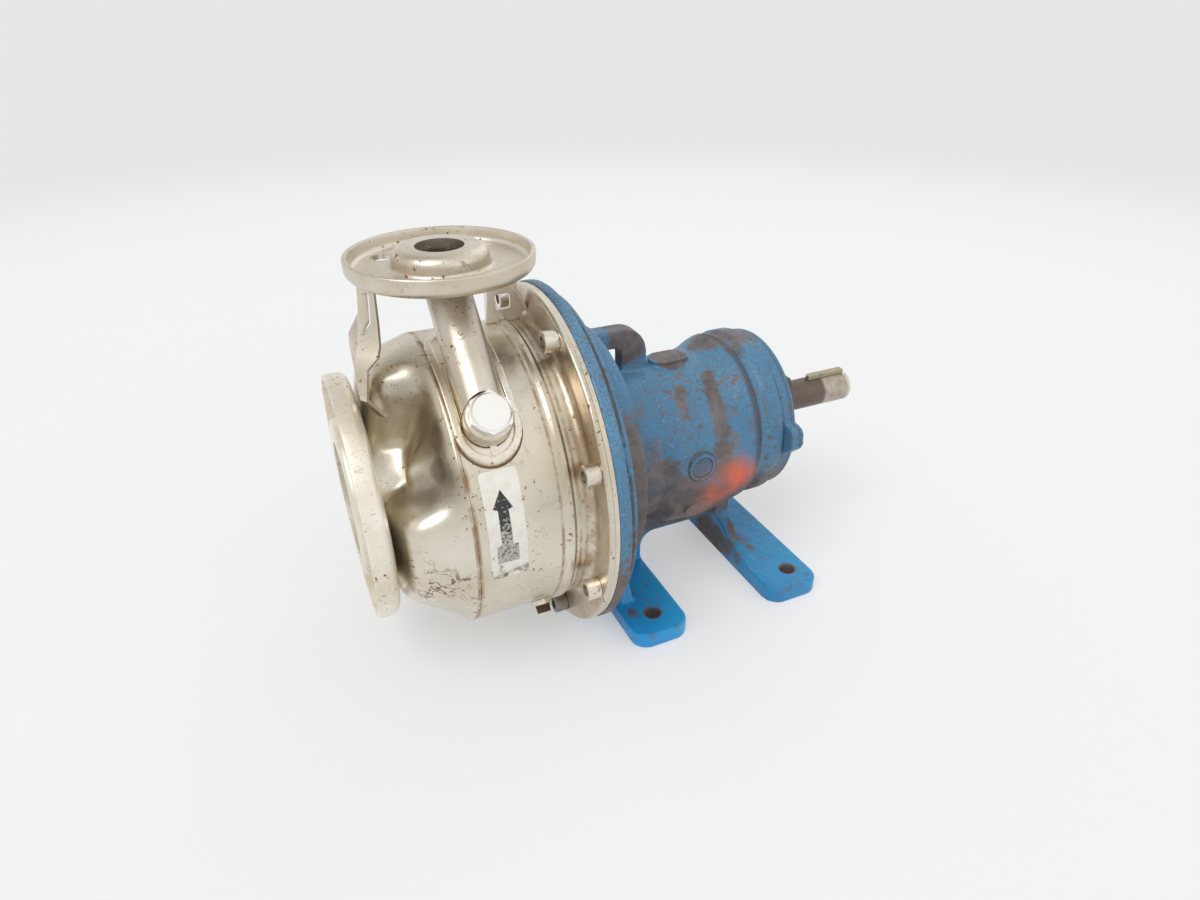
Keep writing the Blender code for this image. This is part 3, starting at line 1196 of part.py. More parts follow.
def ball_bearing(name, x, width, outer_radius, ball_radius):
    """Deep-groove bearing: inner race, outer race, and the balls in their ribbon cage."""
    bore = SEAL_RADIUS + SEAT_GAP
    middle = x + width / 2
    end = x + width
    pitch = (bore + outer_radius) / 2
    land = RACE_LAND * ball_radius
    groove = ball_radius + GROOVE_CLEARANCE
    inner = [(x, bore), (x, pitch - land)] + groove_arc(middle, pitch, groove, land, -1)
    inner += [(end, pitch - land), (end, bore)]
    turned(name + "_inner_race", inner, BODY_FACETS, bright_steel)
    outer = [(x, outer_radius), (x, pitch + land)] + groove_arc(middle, pitch, groove, land, 1)
    outer += [(end, pitch + land), (end, outer_radius)]
    turned(name + "_outer_race", outer, BODY_FACETS, bright_steel)
    half = CAGE_WIDTH / 2
    ribbon = [(middle - half, pitch - CAGE_WALL / 2), (middle - half, pitch + CAGE_WALL / 2),
              (middle + half, pitch + CAGE_WALL / 2), (middle + half, pitch - CAGE_WALL / 2)]
    cage = turned(name + "_ball_set", ribbon, BODY_FACETS, bright_steel)
    balls = bmesh.new()
    for y, z in circle_places(BALLS, pitch, 5):
        ball = bmesh.ops.create_uvsphere(balls, u_segments=8, v_segments=5, radius=ball_radius)
        bmesh.ops.translate(balls, verts=ball["verts"], vec=(middle, y, z))
    return fuse(cage, add_object(name + "_balls", balls, None))


def snap_ring():
    x = OUTBOARD_X + OUTBOARD_WIDTH + SEAT_GAP
    bore = SEAL_RADIUS + SEAT_GAP
    loop = [(x, bore), (x, bore + SNAP_RING_RISE), (x + SNAP_RING_WIDTH, bore + SNAP_RING_RISE),
            (x + SNAP_RING_WIDTH, bore)]
    return turned("snap_ring", loop, BODY_FACETS, dark_steel)


def pump_shaft():
    """One stepped shaft from the impeller nut to the coupling end."""
    shoulder = COVER_REAR_X + 0.0015
    seat_end = HUB_FRONT_X + 0.0010
    loop = [
        (NUT_X - 0.0012, 0), (NUT_X - 0.0012, SHAFT_THREAD_RADIUS - 0.0008),
        (NUT_X - 0.0004, SHAFT_THREAD_RADIUS), (seat_end, SHAFT_THREAD_RADIUS),
        (seat_end, IMPELLER_SEAT_RADIUS), (SLEEVE_FRONT_X, IMPELLER_SEAT_RADIUS),
        (SLEEVE_FRONT_X, SLEEVE_SEAT_RADIUS), (SLEEVE_END_X + SEAT_GAP, SLEEVE_SEAT_RADIUS),
        (SLEEVE_END_X + SEAT_GAP, SEAL_RADIUS),
        (INBOARD_X + INBOARD_WIDTH + SEAT_GAP, SEAL_RADIUS),
        (INBOARD_X + INBOARD_WIDTH + SEAT_GAP, BODY_RADIUS),
        (OUTBOARD_X - SEAT_GAP, BODY_RADIUS), (OUTBOARD_X - SEAT_GAP, SEAL_RADIUS),
        (shoulder, SEAL_RADIUS), (shoulder + 0.0012, COUPLING_RADIUS),
        (SHAFT_END_X - 0.0012, COUPLING_RADIUS), (SHAFT_END_X, COUPLING_RADIUS - 0.0012),
        (SHAFT_END_X, 0)]
    made = turned("pump_shaft", loop, BODY_FACETS, shaft_steel)
    keyway = key_prism("keyway", SEAT_GAP, KEY_SIDE / 2 + SEAT_GAP, SHAFT_END_X)
    small = IMPELLER_KEY_SIDE / 2 + SEAT_GAP
    slot = prism("impeller_keyway", [(HUB_FRONT_X - 0.02, -small), (HUB_REAR_X - 0.0060, -small),
                                     (HUB_REAR_X - 0.0060, small), (HUB_FRONT_X - 0.02, small)],
                 IMPELLER_SEAT_RADIUS - IMPELLER_KEY_SIDE / 2 - SEAT_GAP, 0.03, "XY")
    return cut(made, keyway, slot)


def key_prism(name, clearance, half, end, paint=None):
    """The coupling key, or with a clearance the keyway that it lies in."""
    start = SHAFT_END_X - KEY_END_SET_BACK - KEY_LENGTH
    bottom = COUPLING_RADIUS - KEY_DEPTH - clearance
    outline = rounded([(start - clearance, -half, half * 0.98), (end, -half), (end, half),
                       (start - clearance, half, half * 0.98)])
    return prism(name, outline, bottom, bottom + KEY_SIDE + 4 * clearance, "XY", paint)


def coupling_key():
    return key_prism("coupling_key", 0, KEY_SIDE / 2, SHAFT_END_X - KEY_END_SET_BACK, rusty_steel)


def impeller():
    """Closed impeller: back disc with hub and backward-curved vanes, and the front shroud."""
    bore = IMPELLER_SEAT_RADIUS + SEAT_GAP
    back = IMPELLER_BACK_X
    face = back - SHROUD
    front = face - IMPELLER_OUTLET_WIDTH
    tip = IMPELLER_RADIUS
    ring = EYE_RADIUS + EYE_RING_WALL
    hub = turned("impeller", rounded([
        (HUB_FRONT_X, bore), (HUB_FRONT_X, HUB_RADIUS, 0.0050), (face - 0.0060, HUB_RADIUS + 0.0020, 0.004),
        (face, HUB_RADIUS + 0.0110, 0.004), (face, tip), (back, tip), (back, HUB_RADIUS),
        (HUB_REAR_X, HUB_RADIUS), (HUB_REAR_X, bore)]), BODY_FACETS, cast_steel)
    turned("impeller_shroud", rounded([
        (front, tip), (IMPELLER_EYE_X, EYE_RADIUS, 0.0050), (EYE_HUB_X, EYE_RADIUS), (EYE_HUB_X, ring),
        (IMPELLER_EYE_X - SHROUD, ring, 0.0040), (front - SHROUD, tip)]), BODY_FACETS, cast_steel)
    vanes = bmesh.new()
    marks = 6
    for vane in range(VANES):
        spine = []
        for mark in range(marks + 1):
            radius = blend(VANE_ROOT_RADIUS, tip - 0.0005, mark / marks)
            turn = VANE_SWEEP * log(radius / VANE_ROOT_RADIUS) / log(tip / VANE_ROOT_RADIUS)
            spot = radial(360 * vane / VANES + 7 - turn) * radius
            spine.append(Vector((spot.y, spot.z)))
        sides = ([], [])
        for mark, spot in enumerate(spine):
            ahead = spine[min(mark + 1, marks)] - spine[max(mark - 1, 0)]
            across = Vector((-ahead.y, ahead.x)).normalized() * VANE_THICKNESS / 2
            sides[0].append(tuple(spot + across))
            sides[1].append(tuple(spot - across))
        prism_into(vanes, sides[0] + sides[1][::-1], EYE_HUB_X, back, "YZ")
    blades = add_object("vanes", vanes, None)
    overlap = SHROUD / 2
    gap = SEAT_GAP + 0.0001
    envelope = turned("vane_envelope", [
        (face + overlap, 0.0200), (face + overlap, tip - 0.0004), (front + gap, tip - 0.0004),
        (IMPELLER_EYE_X + gap, EYE_RADIUS - 0.0004), (IMPELLER_EYE_X + gap, 0.0200)], BODY_FACETS)
    keep_inside(blades, envelope)
    small = IMPELLER_KEY_SIDE / 2 + SEAT_GAP
    slot = prism("impeller_slot", [(HUB_FRONT_X - 0.01, -small), (HUB_REAR_X + 0.01, -small),
                                   (HUB_REAR_X + 0.01, small), (HUB_FRONT_X - 0.01, small)],
                 0.0040, IMPELLER_SEAT_RADIUS + IMPELLER_KEY_SIDE / 2 + SEAT_GAP, "XY")
    return fuse(cut(hub, slot), blades)


def impeller_fixings():
    """Key, washer and nut that hold the impeller on the shaft."""
    half = IMPELLER_KEY_SIDE / 2
    start = HUB_FRONT_X + 0.0020
    end = HUB_REAR_X - 0.0080
    prism("impeller_key", [(start, -half), (end, -half), (end, half), (start, half)],
          IMPELLER_SEAT_RADIUS - half, IMPELLER_SEAT_RADIUS + half, "XY", dark_steel)
    bore = SHAFT_THREAD_RADIUS + SEAT_GAP
    turned("impeller_washer", [(WASHER_X, bore), (WASHER_X, WASHER_RADIUS),
                               (WASHER_X + WASHER_THICKNESS, WASHER_RADIUS),
                               (WASHER_X + WASHER_THICKNESS, bore)], SMALL_FACETS, bright_steel)
    nut = prism("impeller_nut", polygon(6, NUT_ACROSS_FLATS), NUT_X, NUT_X + NUT_HEIGHT, "YZ",
                bright_steel)
    return cut(nut, rod("nut_thread", NUT_X - 0.01, NUT_X + 0.02, bore, BODY_FACETS))


clear_scene()
datum = bpy.data.objects.new("pump_datum", None)
bpy.context.scene.collection.objects.link(datum)
datum.location = (-(SUCTION_FACE_X + SHAFT_END_X) / 2, 0, AXIS_HEIGHT)
steel = material("pressed_stainless", (0.62, 0.60, 0.56), 0.34, 1.0)
bright_steel = material("bright_steel", (0.70, 0.68, 0.64), 0.28, 1.0)
dark_steel = material("dark_steel", (0.16, 0.14, 0.13), 0.45, 1.0)
rusty_steel = material("rusty_steel", (0.30, 0.17, 0.10), 0.75, 0.6)
shaft_steel = material("shaft_steel", (0.44, 0.42, 0.40), 0.40, 1.0)
cast_steel = material("cast_steel", (0.50, 0.48, 0.45), 0.50, 1.0)
blue_paint = material("blue_paint", (0.10, 0.30, 0.52), 0.45, 0.0)
rubber = material("rubber", (0.03, 0.03, 0.03), 0.80, 0.0)
ceramic = material("ceramic", (0.80, 0.78, 0.72), 0.35, 0.0)
carbon = material("carbon", (0.08, 0.08, 0.08), 0.50, 0.0)
gasket_paper = material("gasket_paper", (0.12, 0.13, 0.12), 0.85, 0.0)

suction_flange()
suction_tube()
wear_ring()
discharge_flange()
volute_casing()
casing_barrel()
discharge_tube()
discharge_saddle()
gauge_tap()
drain_tap()
casing_screws()
front_stay()
rear_stay()
seal_plate()
casing_o_ring()
seal_parts()
impeller()
impeller_fixings()
shaft_sleeve()
oil_slinger()
pump_shaft()
coupling_key()
ball_bearing("inboard", INBOARD_X, INBOARD_WIDTH, INBOARD_OUTER_RADIUS, INBOARD_BALL_RADIUS)
ball_bearing("outboard", OUTBOARD_X, OUTBOARD_WIDTH, OUTBOARD_OUTER_RADIUS, OUTBOARD_BALL_RADIUS)
snap_ring()
lip_seal("inboard_lip_seal", FRAME_SEAL_X)
lip_seal("outboard_lip_seal", COVER_SEAL_X)
bearing_frame()
bearing_cover()
cover_gasket()
cover_screws()
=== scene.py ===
"""Looks of the pump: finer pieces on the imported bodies, materials, camera, floor and light."""
import json
import bpy
import bmesh
import numpy
from math import atan2, cos, degrees, exp, log, pi, radians, sin, sqrt, tan
from mathutils import Matrix, Vector

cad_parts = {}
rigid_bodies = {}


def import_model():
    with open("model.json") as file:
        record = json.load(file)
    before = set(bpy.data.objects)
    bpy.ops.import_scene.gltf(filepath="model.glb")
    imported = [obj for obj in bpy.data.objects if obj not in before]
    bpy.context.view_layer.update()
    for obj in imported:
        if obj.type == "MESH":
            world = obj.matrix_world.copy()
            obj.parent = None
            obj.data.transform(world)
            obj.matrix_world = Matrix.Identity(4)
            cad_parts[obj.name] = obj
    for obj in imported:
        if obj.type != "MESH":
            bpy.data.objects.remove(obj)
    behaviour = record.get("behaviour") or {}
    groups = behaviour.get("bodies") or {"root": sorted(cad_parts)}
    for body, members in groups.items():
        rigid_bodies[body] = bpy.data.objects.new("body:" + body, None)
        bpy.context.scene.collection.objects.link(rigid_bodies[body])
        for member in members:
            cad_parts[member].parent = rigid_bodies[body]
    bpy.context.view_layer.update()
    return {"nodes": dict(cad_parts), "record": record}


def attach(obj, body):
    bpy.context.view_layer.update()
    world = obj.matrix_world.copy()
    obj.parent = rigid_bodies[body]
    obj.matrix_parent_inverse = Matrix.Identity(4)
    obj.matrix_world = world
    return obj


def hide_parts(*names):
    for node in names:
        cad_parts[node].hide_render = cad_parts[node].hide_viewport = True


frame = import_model()

# Sizes of the pump, the same as the solids', with finer facets
SEAT_GAP = 0.0003
WEAR_RING_GAP = 0.0008
AXIS_HEIGHT = 0.1460
RING_RADIUS = 0.1420
SUCTION_FACE_X = -0.1652
DISCHARGE_X = -0.0725
SHAFT_END_X = 0.3095
SUCTION_FLANGE_RADIUS = 0.09525
SUCTION_RIM_WIDTH = 0.0170
SUCTION_RIM_RECESS = 0.0018
SUCTION_HUB_RADIUS = 0.0640
SUCTION_HUB_ROUND = 0.0030
SUCTION_BORE_RADIUS = 0.0440
SUCTION_BOLT_CIRCLE = 0.0762
SUCTION_HOLE_RADIUS = 0.0095
SUCTION_NECK_RADIUS = 0.0500
SUCTION_TUBE_WALL = 0.0027
SUCTION_TUBE_END_X = -0.1185
FLANGE_WALL = 0.0036
DISCHARGE_RIM_HEIGHT = RING_RADIUS + 0.0382
DISCHARGE_FLANGE_RADIUS = 0.0660
DISCHARGE_RIM_WIDTH = 0.0138
DISCHARGE_HUB_RISE = 0.0035
DISCHARGE_HUB_RADIUS = 0.0330
DISCHARGE_HUB_ROUND = 0.0075
DISCHARGE_HUB_FOOT_RADIUS = 0.0348
DISCHARGE_BORE_RADIUS = 0.0172
DISCHARGE_BOLT_CIRCLE = 0.0492
DISCHARGE_HOLE_RADIUS = 0.0079
FLANGE_HOLES = 4
SHEET = 0.0030
BARREL_RADIUS = RING_RADIUS - 0.0260
SEAM_X = -0.0950
DOME_ANGLE = 36.0
DOME_SPREAD = 17.0
DOME_OFFSET = 0.0180
DOME_REACH = 0.0135
DOME_HEIGHT = 0.0175
BEAD_X = -0.0262
BEAD_RADIUS = 0.0024
RING_THICKNESS = 0.0044
TUBE_RADIUS = 0.0160
TUBE_WALL = 0.0027
TUBE_FOOT_ANGLE = 46.0
TUBE_AXIS_RADIUS = BARREL_RADIUS + 0.0020
SADDLE_WIDTH = 0.0460
SADDLE_THICKNESS = 0.0042
SADDLE_FLOOR = 0.0018
SADDLE_LIP = 0.0050
SADDLE_TOP_ANGLE = 92.0
SADDLE_LOW_ANGLE = 32.4
BOSS_RADIUS = 0.0168
BOSS_TOP_RADIUS = BARREL_RADIUS + 0.0170
BOSS_THREAD_RADIUS = 0.0100
PLUG_ACROSS_FLATS = 0.0270
PLUG_HEAD_HEIGHT = 0.0075
DRAIN_X = -0.0395
DRAIN_ANGLE = -48.0
DRAIN_BOSS_RADIUS = 0.0085
DRAIN_THREAD_RADIUS = 0.0050
DRAIN_BOSS_HEIGHT = 0.0040
DRAIN_PLUG_SIDE = 0.0080
DRAIN_PLUG_HEIGHT = 0.0062
STAY_SHEET = 0.0025
FRONT_STAY_X = -0.1290
REAR_STAY_X = -0.0258
REAR_STAY_Y = 0.0160
REAR_STAY_WIDTH = 0.0240
REAR_STAY_TAB = 0.0080
REAR_STAY_WINDOW = 0.0120
SCREW_COUNT = 8
SCREW_CIRCLE = RING_RADIUS - 0.0110
SCREW_HEAD_RADIUS = 0.0080
SCREW_HEAD_LENGTH = 0.0104
SCREW_SHANK_RADIUS = 0.0048
SCREW_SHANK_LENGTH = 0.0200
SCREW_SOCKET_RADIUS = 0.0046
SCREW_SOCKET_DEPTH = 0.0060
ADAPTER_RADIUS = RING_RADIUS + 0.0002
ADAPTER_RIM = 0.0095
ADAPTER_STEP_RADIUS = ADAPTER_RADIUS - 0.0082
ADAPTER_DEPTH = 0.0180
BELL_RADIUS = ADAPTER_RADIUS - 0.0382
BELL_REAR_X = 0.0425
BELL_WALL = 0.0085
NECK_RADIUS = 0.0610
SUMP_DROP = 0.0135
SUMP_RADIUS = 0.0745
SUMP_WALL = 0.0150
SUMP_PAD_X = 0.1095
SUMP_PAD_ANGLE = -25.0
SUMP_PAD_RADIUS = 0.0130
SUMP_PAD_RISE = 0.0018
DRUM_RADIUS = 0.0732
DRUM_FRONT_X = 0.1580
FRAME_REAR_X = 0.1855
OIL_SPACE_RADIUS = 0.0480
FOOT_THICKNESS = 0.0143
FRONT_FOOT_X = 0.0588
FRONT_FOOT_WIDTH = 0.0520
REAR_FOOT_X = 0.1945
REAR_FOOT_WIDTH = 0.0540
FOOT_SPAN = 0.2200
FOOT_HOLE_SPAN = 0.1706
FOOT_HOLE_RADIUS = 0.0063
REAR_HOLE_SHIFT = 0.0065
FOOT_CORNER = 0.0150
WEB_WIDTH = 0.0280
ARCH_HEIGHT = 0.0430
RIB_THICKNESS = 0.0120
RIB_WAIST = 0.0135
RIB_WAIST_HEIGHT = 0.0350
RIB_FOOT = 0.0640
FRONT_RIB_FOOT = 0.0680
EYE_WIDTH = 0.0150
EYE_TOP = BELL_RADIUS - 0.0030
EYE_REAR_X = 0.0875
EYE_THICKNESS = 0.0225
EYE_BEND = 0.0260
EYE_HOLE_RADIUS = 0.0080
TOP_BOSS_X = 0.1115
TOP_BOSS_LENGTH = 0.0350
TOP_BOSS_WIDTH = 0.0230
TOP_BOSS_HEIGHT = 0.0665
MARK_X = 0.1070
MARK_RADIUS = 0.0125
GASKET_THICKNESS = 0.0005
COVER_RADIUS = 0.0724
COVER_FLANGE = 0.0134
COVER_HUB_RADIUS = 0.0610
COVER_HUB_RISE = 0.0080
EAR_ANGLE = 5.0
EAR_REACH = 0.0845
EAR_TIP_RADIUS = 0.0085
COVER_SCREW_COUNT = 4
COVER_SCREW_CIRCLE = 0.0500
COVER_SCREW_FLATS = 0.0130
COVER_SCREW_HEAD = 0.0053
COVER_SCREW_SHANK = 0.0040
COVER_SCREW_REACH = 0.0120
COUPLING_RADIUS = 0.01429
SEAL_RADIUS = 0.0175
BODY_RADIUS = 0.0210
SLEEVE_SEAT_RADIUS = 0.0140
IMPELLER_SEAT_RADIUS = 0.0110
SHAFT_THREAD_RADIUS = 0.0080
KEY_SIDE = 0.00635
KEY_LENGTH = 0.0410
KEY_END_SET_BACK = 0.0040
KEY_DEPTH = 0.0026
IMPELLER_KEY_SIDE = 0.0048
INBOARD_OUTER_RADIUS = 0.0360
INBOARD_WIDTH = 0.0170
INBOARD_X = 0.0585
OUTBOARD_OUTER_RADIUS = 0.0400
OUTBOARD_WIDTH = 0.0210
LIP_SEAL_RADIUS = 0.0260
LIP_SEAL_WIDTH = 0.0080
IMPELLER_RADIUS = BARREL_RADIUS - 0.0300
IMPELLER_BACK_X = -0.0600
IMPELLER_OUTLET_WIDTH = 0.0100
SHROUD = 0.0030
EYE_RADIUS = 0.0385
EYE_HUB_X = -0.1240
EYE_RING_WALL = 0.0035
IMPELLER_EYE_X = -0.0830
HUB_RADIUS = 0.0190
HUB_FRONT_X = -0.0920
VANES = 6
VANE_ROOT_RADIUS = 0.0300
VANE_THICKNESS = 0.0030
VANE_SWEEP = 105.0
WASHER_RADIUS = 0.0150
WASHER_THICKNESS = 0.0022
NUT_ACROSS_FLATS = 0.0240
NUT_HEIGHT = 0.0088
PLATE_DISH_X = -0.0540
PLATE_DISH_RADIUS = BARREL_RADIUS - 0.0080
PLATE_SHEET = 0.0034
SEAL_CHAMBER_RADIUS = 0.0340
SEAL_CHAMBER_END_X = -0.0140
SEAL_BORE_RADIUS = 0.0205
SLEEVE_END_X = 0.0295
RIM_FACETS = 144
FLANGE_FACETS = 112
BODY_FACETS = 72
SMALL_FACETS = 48
HOLE_FACETS = 32
SCREW_FACETS = 32
ARC_STEPS = 7
ARC_STEP_LENGTH = 0.0006
FLANGE_FLOOR_X = SUCTION_FACE_X + SUCTION_RIM_RECESS + SUCTION_RIM_WIDTH
VOLUTE_FRONT_X = FLANGE_FLOOR_X + SEAT_GAP
PLATE_FACE_X = -(SEAT_GAP + PLATE_SHEET)
RING_FACE_X = PLATE_FACE_X - SEAT_GAP - RING_THICKNESS
DISCHARGE_FLOOR = DISCHARGE_RIM_HEIGHT - DISCHARGE_RIM_WIDTH
OUTBOARD_X = FRAME_REAR_X - OUTBOARD_WIDTH
GASKET_X = FRAME_REAR_X + SEAT_GAP
COVER_X = GASKET_X + GASKET_THICKNESS + SEAT_GAP
COVER_REAR_X = COVER_X + COVER_FLANGE + COVER_HUB_RISE
HUB_REAR_X = IMPELLER_BACK_X + 0.0010
SLEEVE_FRONT_X = HUB_REAR_X + SEAT_GAP
WASHER_X = HUB_FRONT_X - SEAT_GAP - WASHER_THICKNESS
NUT_X = WASHER_X - SEAT_GAP - NUT_HEIGHT
COVER_SEAL_X = COVER_REAR_X - 0.0010 - LIP_SEAL_WIDTH
FRAME_SEAL_X = INBOARD_X - 0.0020 - LIP_SEAL_WIDTH

CREASE = radians(32)


def placed(name, data, parent=None):
    """Puts an object into the scene, on its parent where one is given."""
    made = bpy.data.objects.new(name, data)
    bpy.context.scene.collection.objects.link(made)
    made.parent = parent
    return made


def as_mesh(name, mesh_data):
    mesh = bpy.data.meshes.new(name)
    mesh_data.to_mesh(mesh)
    mesh_data.free()
    return mesh


datum = placed("pump_datum", None)
datum.location = (-(SUCTION_FACE_X + SHAFT_END_X) / 2, 0, AXIS_HEIGHT)


def volute_surface(name, lift, closed):
    """The shell's outer face, lifted outwards, open for the sheet or closed for a cutter."""
    along = 60
    corners = [360 * step / RIM_FACETS for step in range(RIM_FACETS)]
    table = numpy.array([[volute_point(angle, mark / along) for mark in range(along + 1)] for angle in corners])
    for turn in range(9):
        beside = (numpy.roll(table, 1, 0) + numpy.roll(table, -1, 0)) / 2
        mean = (beside[:, 1:-1] + (table[:, :-2] + table[:, 2:]) / 2) / 2
        table[:, 1:-1] += 0.6 * (mean - table[:, 1:-1])
    slopes = numpy.gradient(table, axis=1)
    slopes /= numpy.linalg.norm(slopes, axis=2)[:, :, None]
    mesh_data = bmesh.new()
    grid = []
    for angle, places, leans in zip(corners, table, slopes):
        row = []
        for (x, radius), (run, rise) in zip(places, leans):
            spot = radial(angle) * float(radius + lift * run)
            row.append(mesh_data.verts.new((x - lift * rise, spot.y, spot.z)))
        grid.append(row)
    for here, there in zip(grid, grid[1:] + grid[:1]):
        for mark in range(along):
            mesh_data.faces.new((here[mark], here[mark + 1], there[mark + 1], there[mark]))
    if closed:
        mesh_data.faces.new([row[0] for row in grid])
        mesh_data.faces.new([row[-1] for row in grid])
        return add_object(name, mesh_data)
    return placed(name, as_mesh(name, mesh_data), datum)


def rounded(corners):
    """Closed outline through corners (u, v) or (u, v, radius), rounded where a radius is given."""
    outline = []
    count = len(corners)
    for index, corner in enumerate(corners):
        here = Vector(corner[:2])
        if len(corner) < 3 or corner[2] <= 0:
            outline.append(tuple(here))
            continue
        before = Vector(corners[index - 1][:2]) - here
        after = Vector(corners[(index + 1) % count][:2]) - here
        half = before.normalized().angle(after.normalized()) / 2
        reach = min(corner[2] / tan(half), 0.49 * before.length, 0.49 * after.length)
        radius = reach * tan(half)
        middle = here + (before.normalized() + after.normalized()).normalized() * radius / sin(half)
        first = here + before.normalized() * reach - middle
        last = here + after.normalized() * reach - middle
        start = atan2(first.y, first.x)
        turn = (atan2(last.y, last.x) - start + pi) % (2 * pi) - pi
        steps = min(ARC_STEPS, 1 + int(radius / ARC_STEP_LENGTH))
        for step in range(steps + 1):
            angle = start + turn * step / steps
            outline.append((middle.x + radius * cos(angle), middle.y + radius * sin(angle)))
    return outline


def polygon(sides, across_flats, turn=0.0):
    """Regular outline, sized across its flats."""
    radius = across_flats / 2 / cos(pi / sides)
    angles = [turn + 2 * pi * side / sides for side in range(sides)]
    return [(radius * cos(angle), radius * sin(angle)) for angle in angles]


def add_object(name, mesh_data):
    bmesh.ops.recalc_face_normals(mesh_data, faces=mesh_data.faces)
    mesh = as_mesh(name, mesh_data)
    mesh.shade_smooth()
    mesh.set_sharp_from_angle(angle=CREASE)
    return placed(name, mesh, datum)


def turn_into(mesh_data, loop, facets, first_angle=0.0):
    """Adds a body turned about X from a closed loop of (x, radius) points."""
    rings = []
    for x, radius in loop:
        if radius < 1e-6:
            rings.append([mesh_data.verts.new((x, 0, 0))])
            continue
        angles = [first_angle + 2 * pi * facet / facets for facet in range(facets)]
        rings.append([mesh_data.verts.new((x, radius * cos(a), radius * sin(a))) for a in angles])
    for here, there in zip(rings, rings[1:] + rings[:1]):
        for facet in range(facets):
            other = (facet + 1) % facets
            if len(here) == 1 and len(there) == 1:
                break
            if len(here) == 1:
                mesh_data.faces.new((here[0], there[facet], there[other]))
            elif len(there) == 1:
                mesh_data.faces.new((here[facet], there[0], here[other]))
            else:
                mesh_data.faces.new((here[facet], there[facet], there[other], here[other]))


def turned(name, loop, facets, first_angle=0.0):
    mesh_data = bmesh.new()
    turn_into(mesh_data, loop, facets, first_angle)
    return add_object(name, mesh_data)


def rod(name, x_from, x_to, radius, facets=SMALL_FACETS):
    return turned(name, [(x_from, 0), (x_from, radius), (x_to, radius), (x_to, 0)], facets)


def prism_into(mesh_data, outline, low, high, plane):
    """Adds a prism. The outline lies in the named plane, and low and high are along its normal."""
    place = {
        "XY": lambda u, v, w: (u, v, w),
        "XZ": lambda u, v, w: (u, w, v),
        "YZ": lambda u, v, w: (w, u, v),
    }[plane]
    bottom = [mesh_data.verts.new(place(u, v, low)) for u, v in outline]
    top = [mesh_data.verts.new(place(u, v, high)) for u, v in outline]
    mesh_data.faces.new(bottom)
    mesh_data.faces.new(top)
    for index in range(len(outline)):
        other = (index + 1) % len(outline)
        mesh_data.faces.new((bottom[index], bottom[other], top[other], top[index]))


def prism(name, outline, low, high, plane):
    mesh_data = bmesh.new()
    prism_into(mesh_data, outline, low, high, plane)
    return add_object(name, mesh_data)


def point_along(made, place, direction):
    """Puts an object's local X along a direction at a place."""
    made.location = place
    made.rotation_mode = "QUATERNION"
    made.rotation_quaternion = Vector(direction).to_track_quat("X", "Z")
    return made


def radial(angle):
    """Unit vector away from the shaft at an angle from the near side towards the top."""
    return Vector((0, -cos(radians(angle)), sin(radians(angle))))


def combine(made, other, operation):
    other.hide_render = True
    other.display_type = "WIRE"
    step = made.modifiers.new(other.name, "BOOLEAN")
    step.operation = operation
    step.solver = "EXACT"
    step.object = other
    return made


def cut(made, *cutters):
    for cutter in cutters:
        combine(made, cutter, "DIFFERENCE")
    return made


def fuse(made, *others):
    for other in others:
        combine(made, other, "UNION")
    return made


def keep_inside(made, *others):
    for other in others:
        combine(made, other, "INTERSECT")
    return made


def circle_places(count, radius, first_angle):
    """(y, z) places evenly round the shaft."""
    angles = [radians(first_angle) + 2 * pi * index / count for index in range(count)]
    return [(-radius * cos(angle), radius * sin(angle)) for angle in angles]


SCREW_PLACES = circle_places(SCREW_COUNT, SCREW_CIRCLE, 180 / SCREW_COUNT)
COVER_PLACES = circle_places(COVER_SCREW_COUNT, COVER_SCREW_CIRCLE, 45.0)


def drill_set(name, places, radius, x_from, x_to, facets=HOLE_FACETS):
    """One cutter with a rod along X at each (y, z) place, its flats at the radius."""
    mesh_data = bmesh.new()
    radius = radius / cos(pi / facets)
    for y, z in places:
        start = len(mesh_data.verts)
        turn_into(mesh_data, [(x_from, 0), (x_from, radius), (x_to, radius), (x_to, 0)], facets)
        mesh_data.verts.ensure_lookup_table()
        bmesh.ops.translate(mesh_data, verts=mesh_data.verts[start:], vec=(0, y, z))
    return add_object(name, mesh_data)


def dish_loop(face, rim_top, floor, rim_radius, hub_foot, hub_top, hub_round, bore):
    """Half section of a pressed flange: raised hub, dished floor and rim turned to the face."""
    return rounded([
        (face, bore),
        (face, hub_top, hub_round),
        (floor - FLANGE_WALL, hub_foot, 0.0035),
        (floor - FLANGE_WALL, rim_radius - FLANGE_WALL, 0.0040),
        (rim_top, rim_radius - FLANGE_WALL, 0.0010),
        (rim_top, rim_radius, 0.0014),
        (floor, rim_radius, 0.0070),
        (floor, bore),
    ])


def suction_flange():
    rim_top = SUCTION_FACE_X + SUCTION_RIM_RECESS
    loop = dish_loop(SUCTION_FACE_X, rim_top, FLANGE_FLOOR_X, SUCTION_FLANGE_RADIUS,
                     SUCTION_HUB_RADIUS, SUCTION_HUB_RADIUS - 0.0030,
                     SUCTION_HUB_ROUND, SUCTION_BORE_RADIUS)
    made = turned("suction_flange", loop, RIM_FACETS)
    places = circle_places(FLANGE_HOLES, SUCTION_BOLT_CIRCLE, 45.0)
    return cut(made, drill_set("suction_flange_holes", places, SUCTION_HOLE_RADIUS,
                               FLANGE_FLOOR_X - 0.03, FLANGE_FLOOR_X + 0.03, SMALL_FACETS))


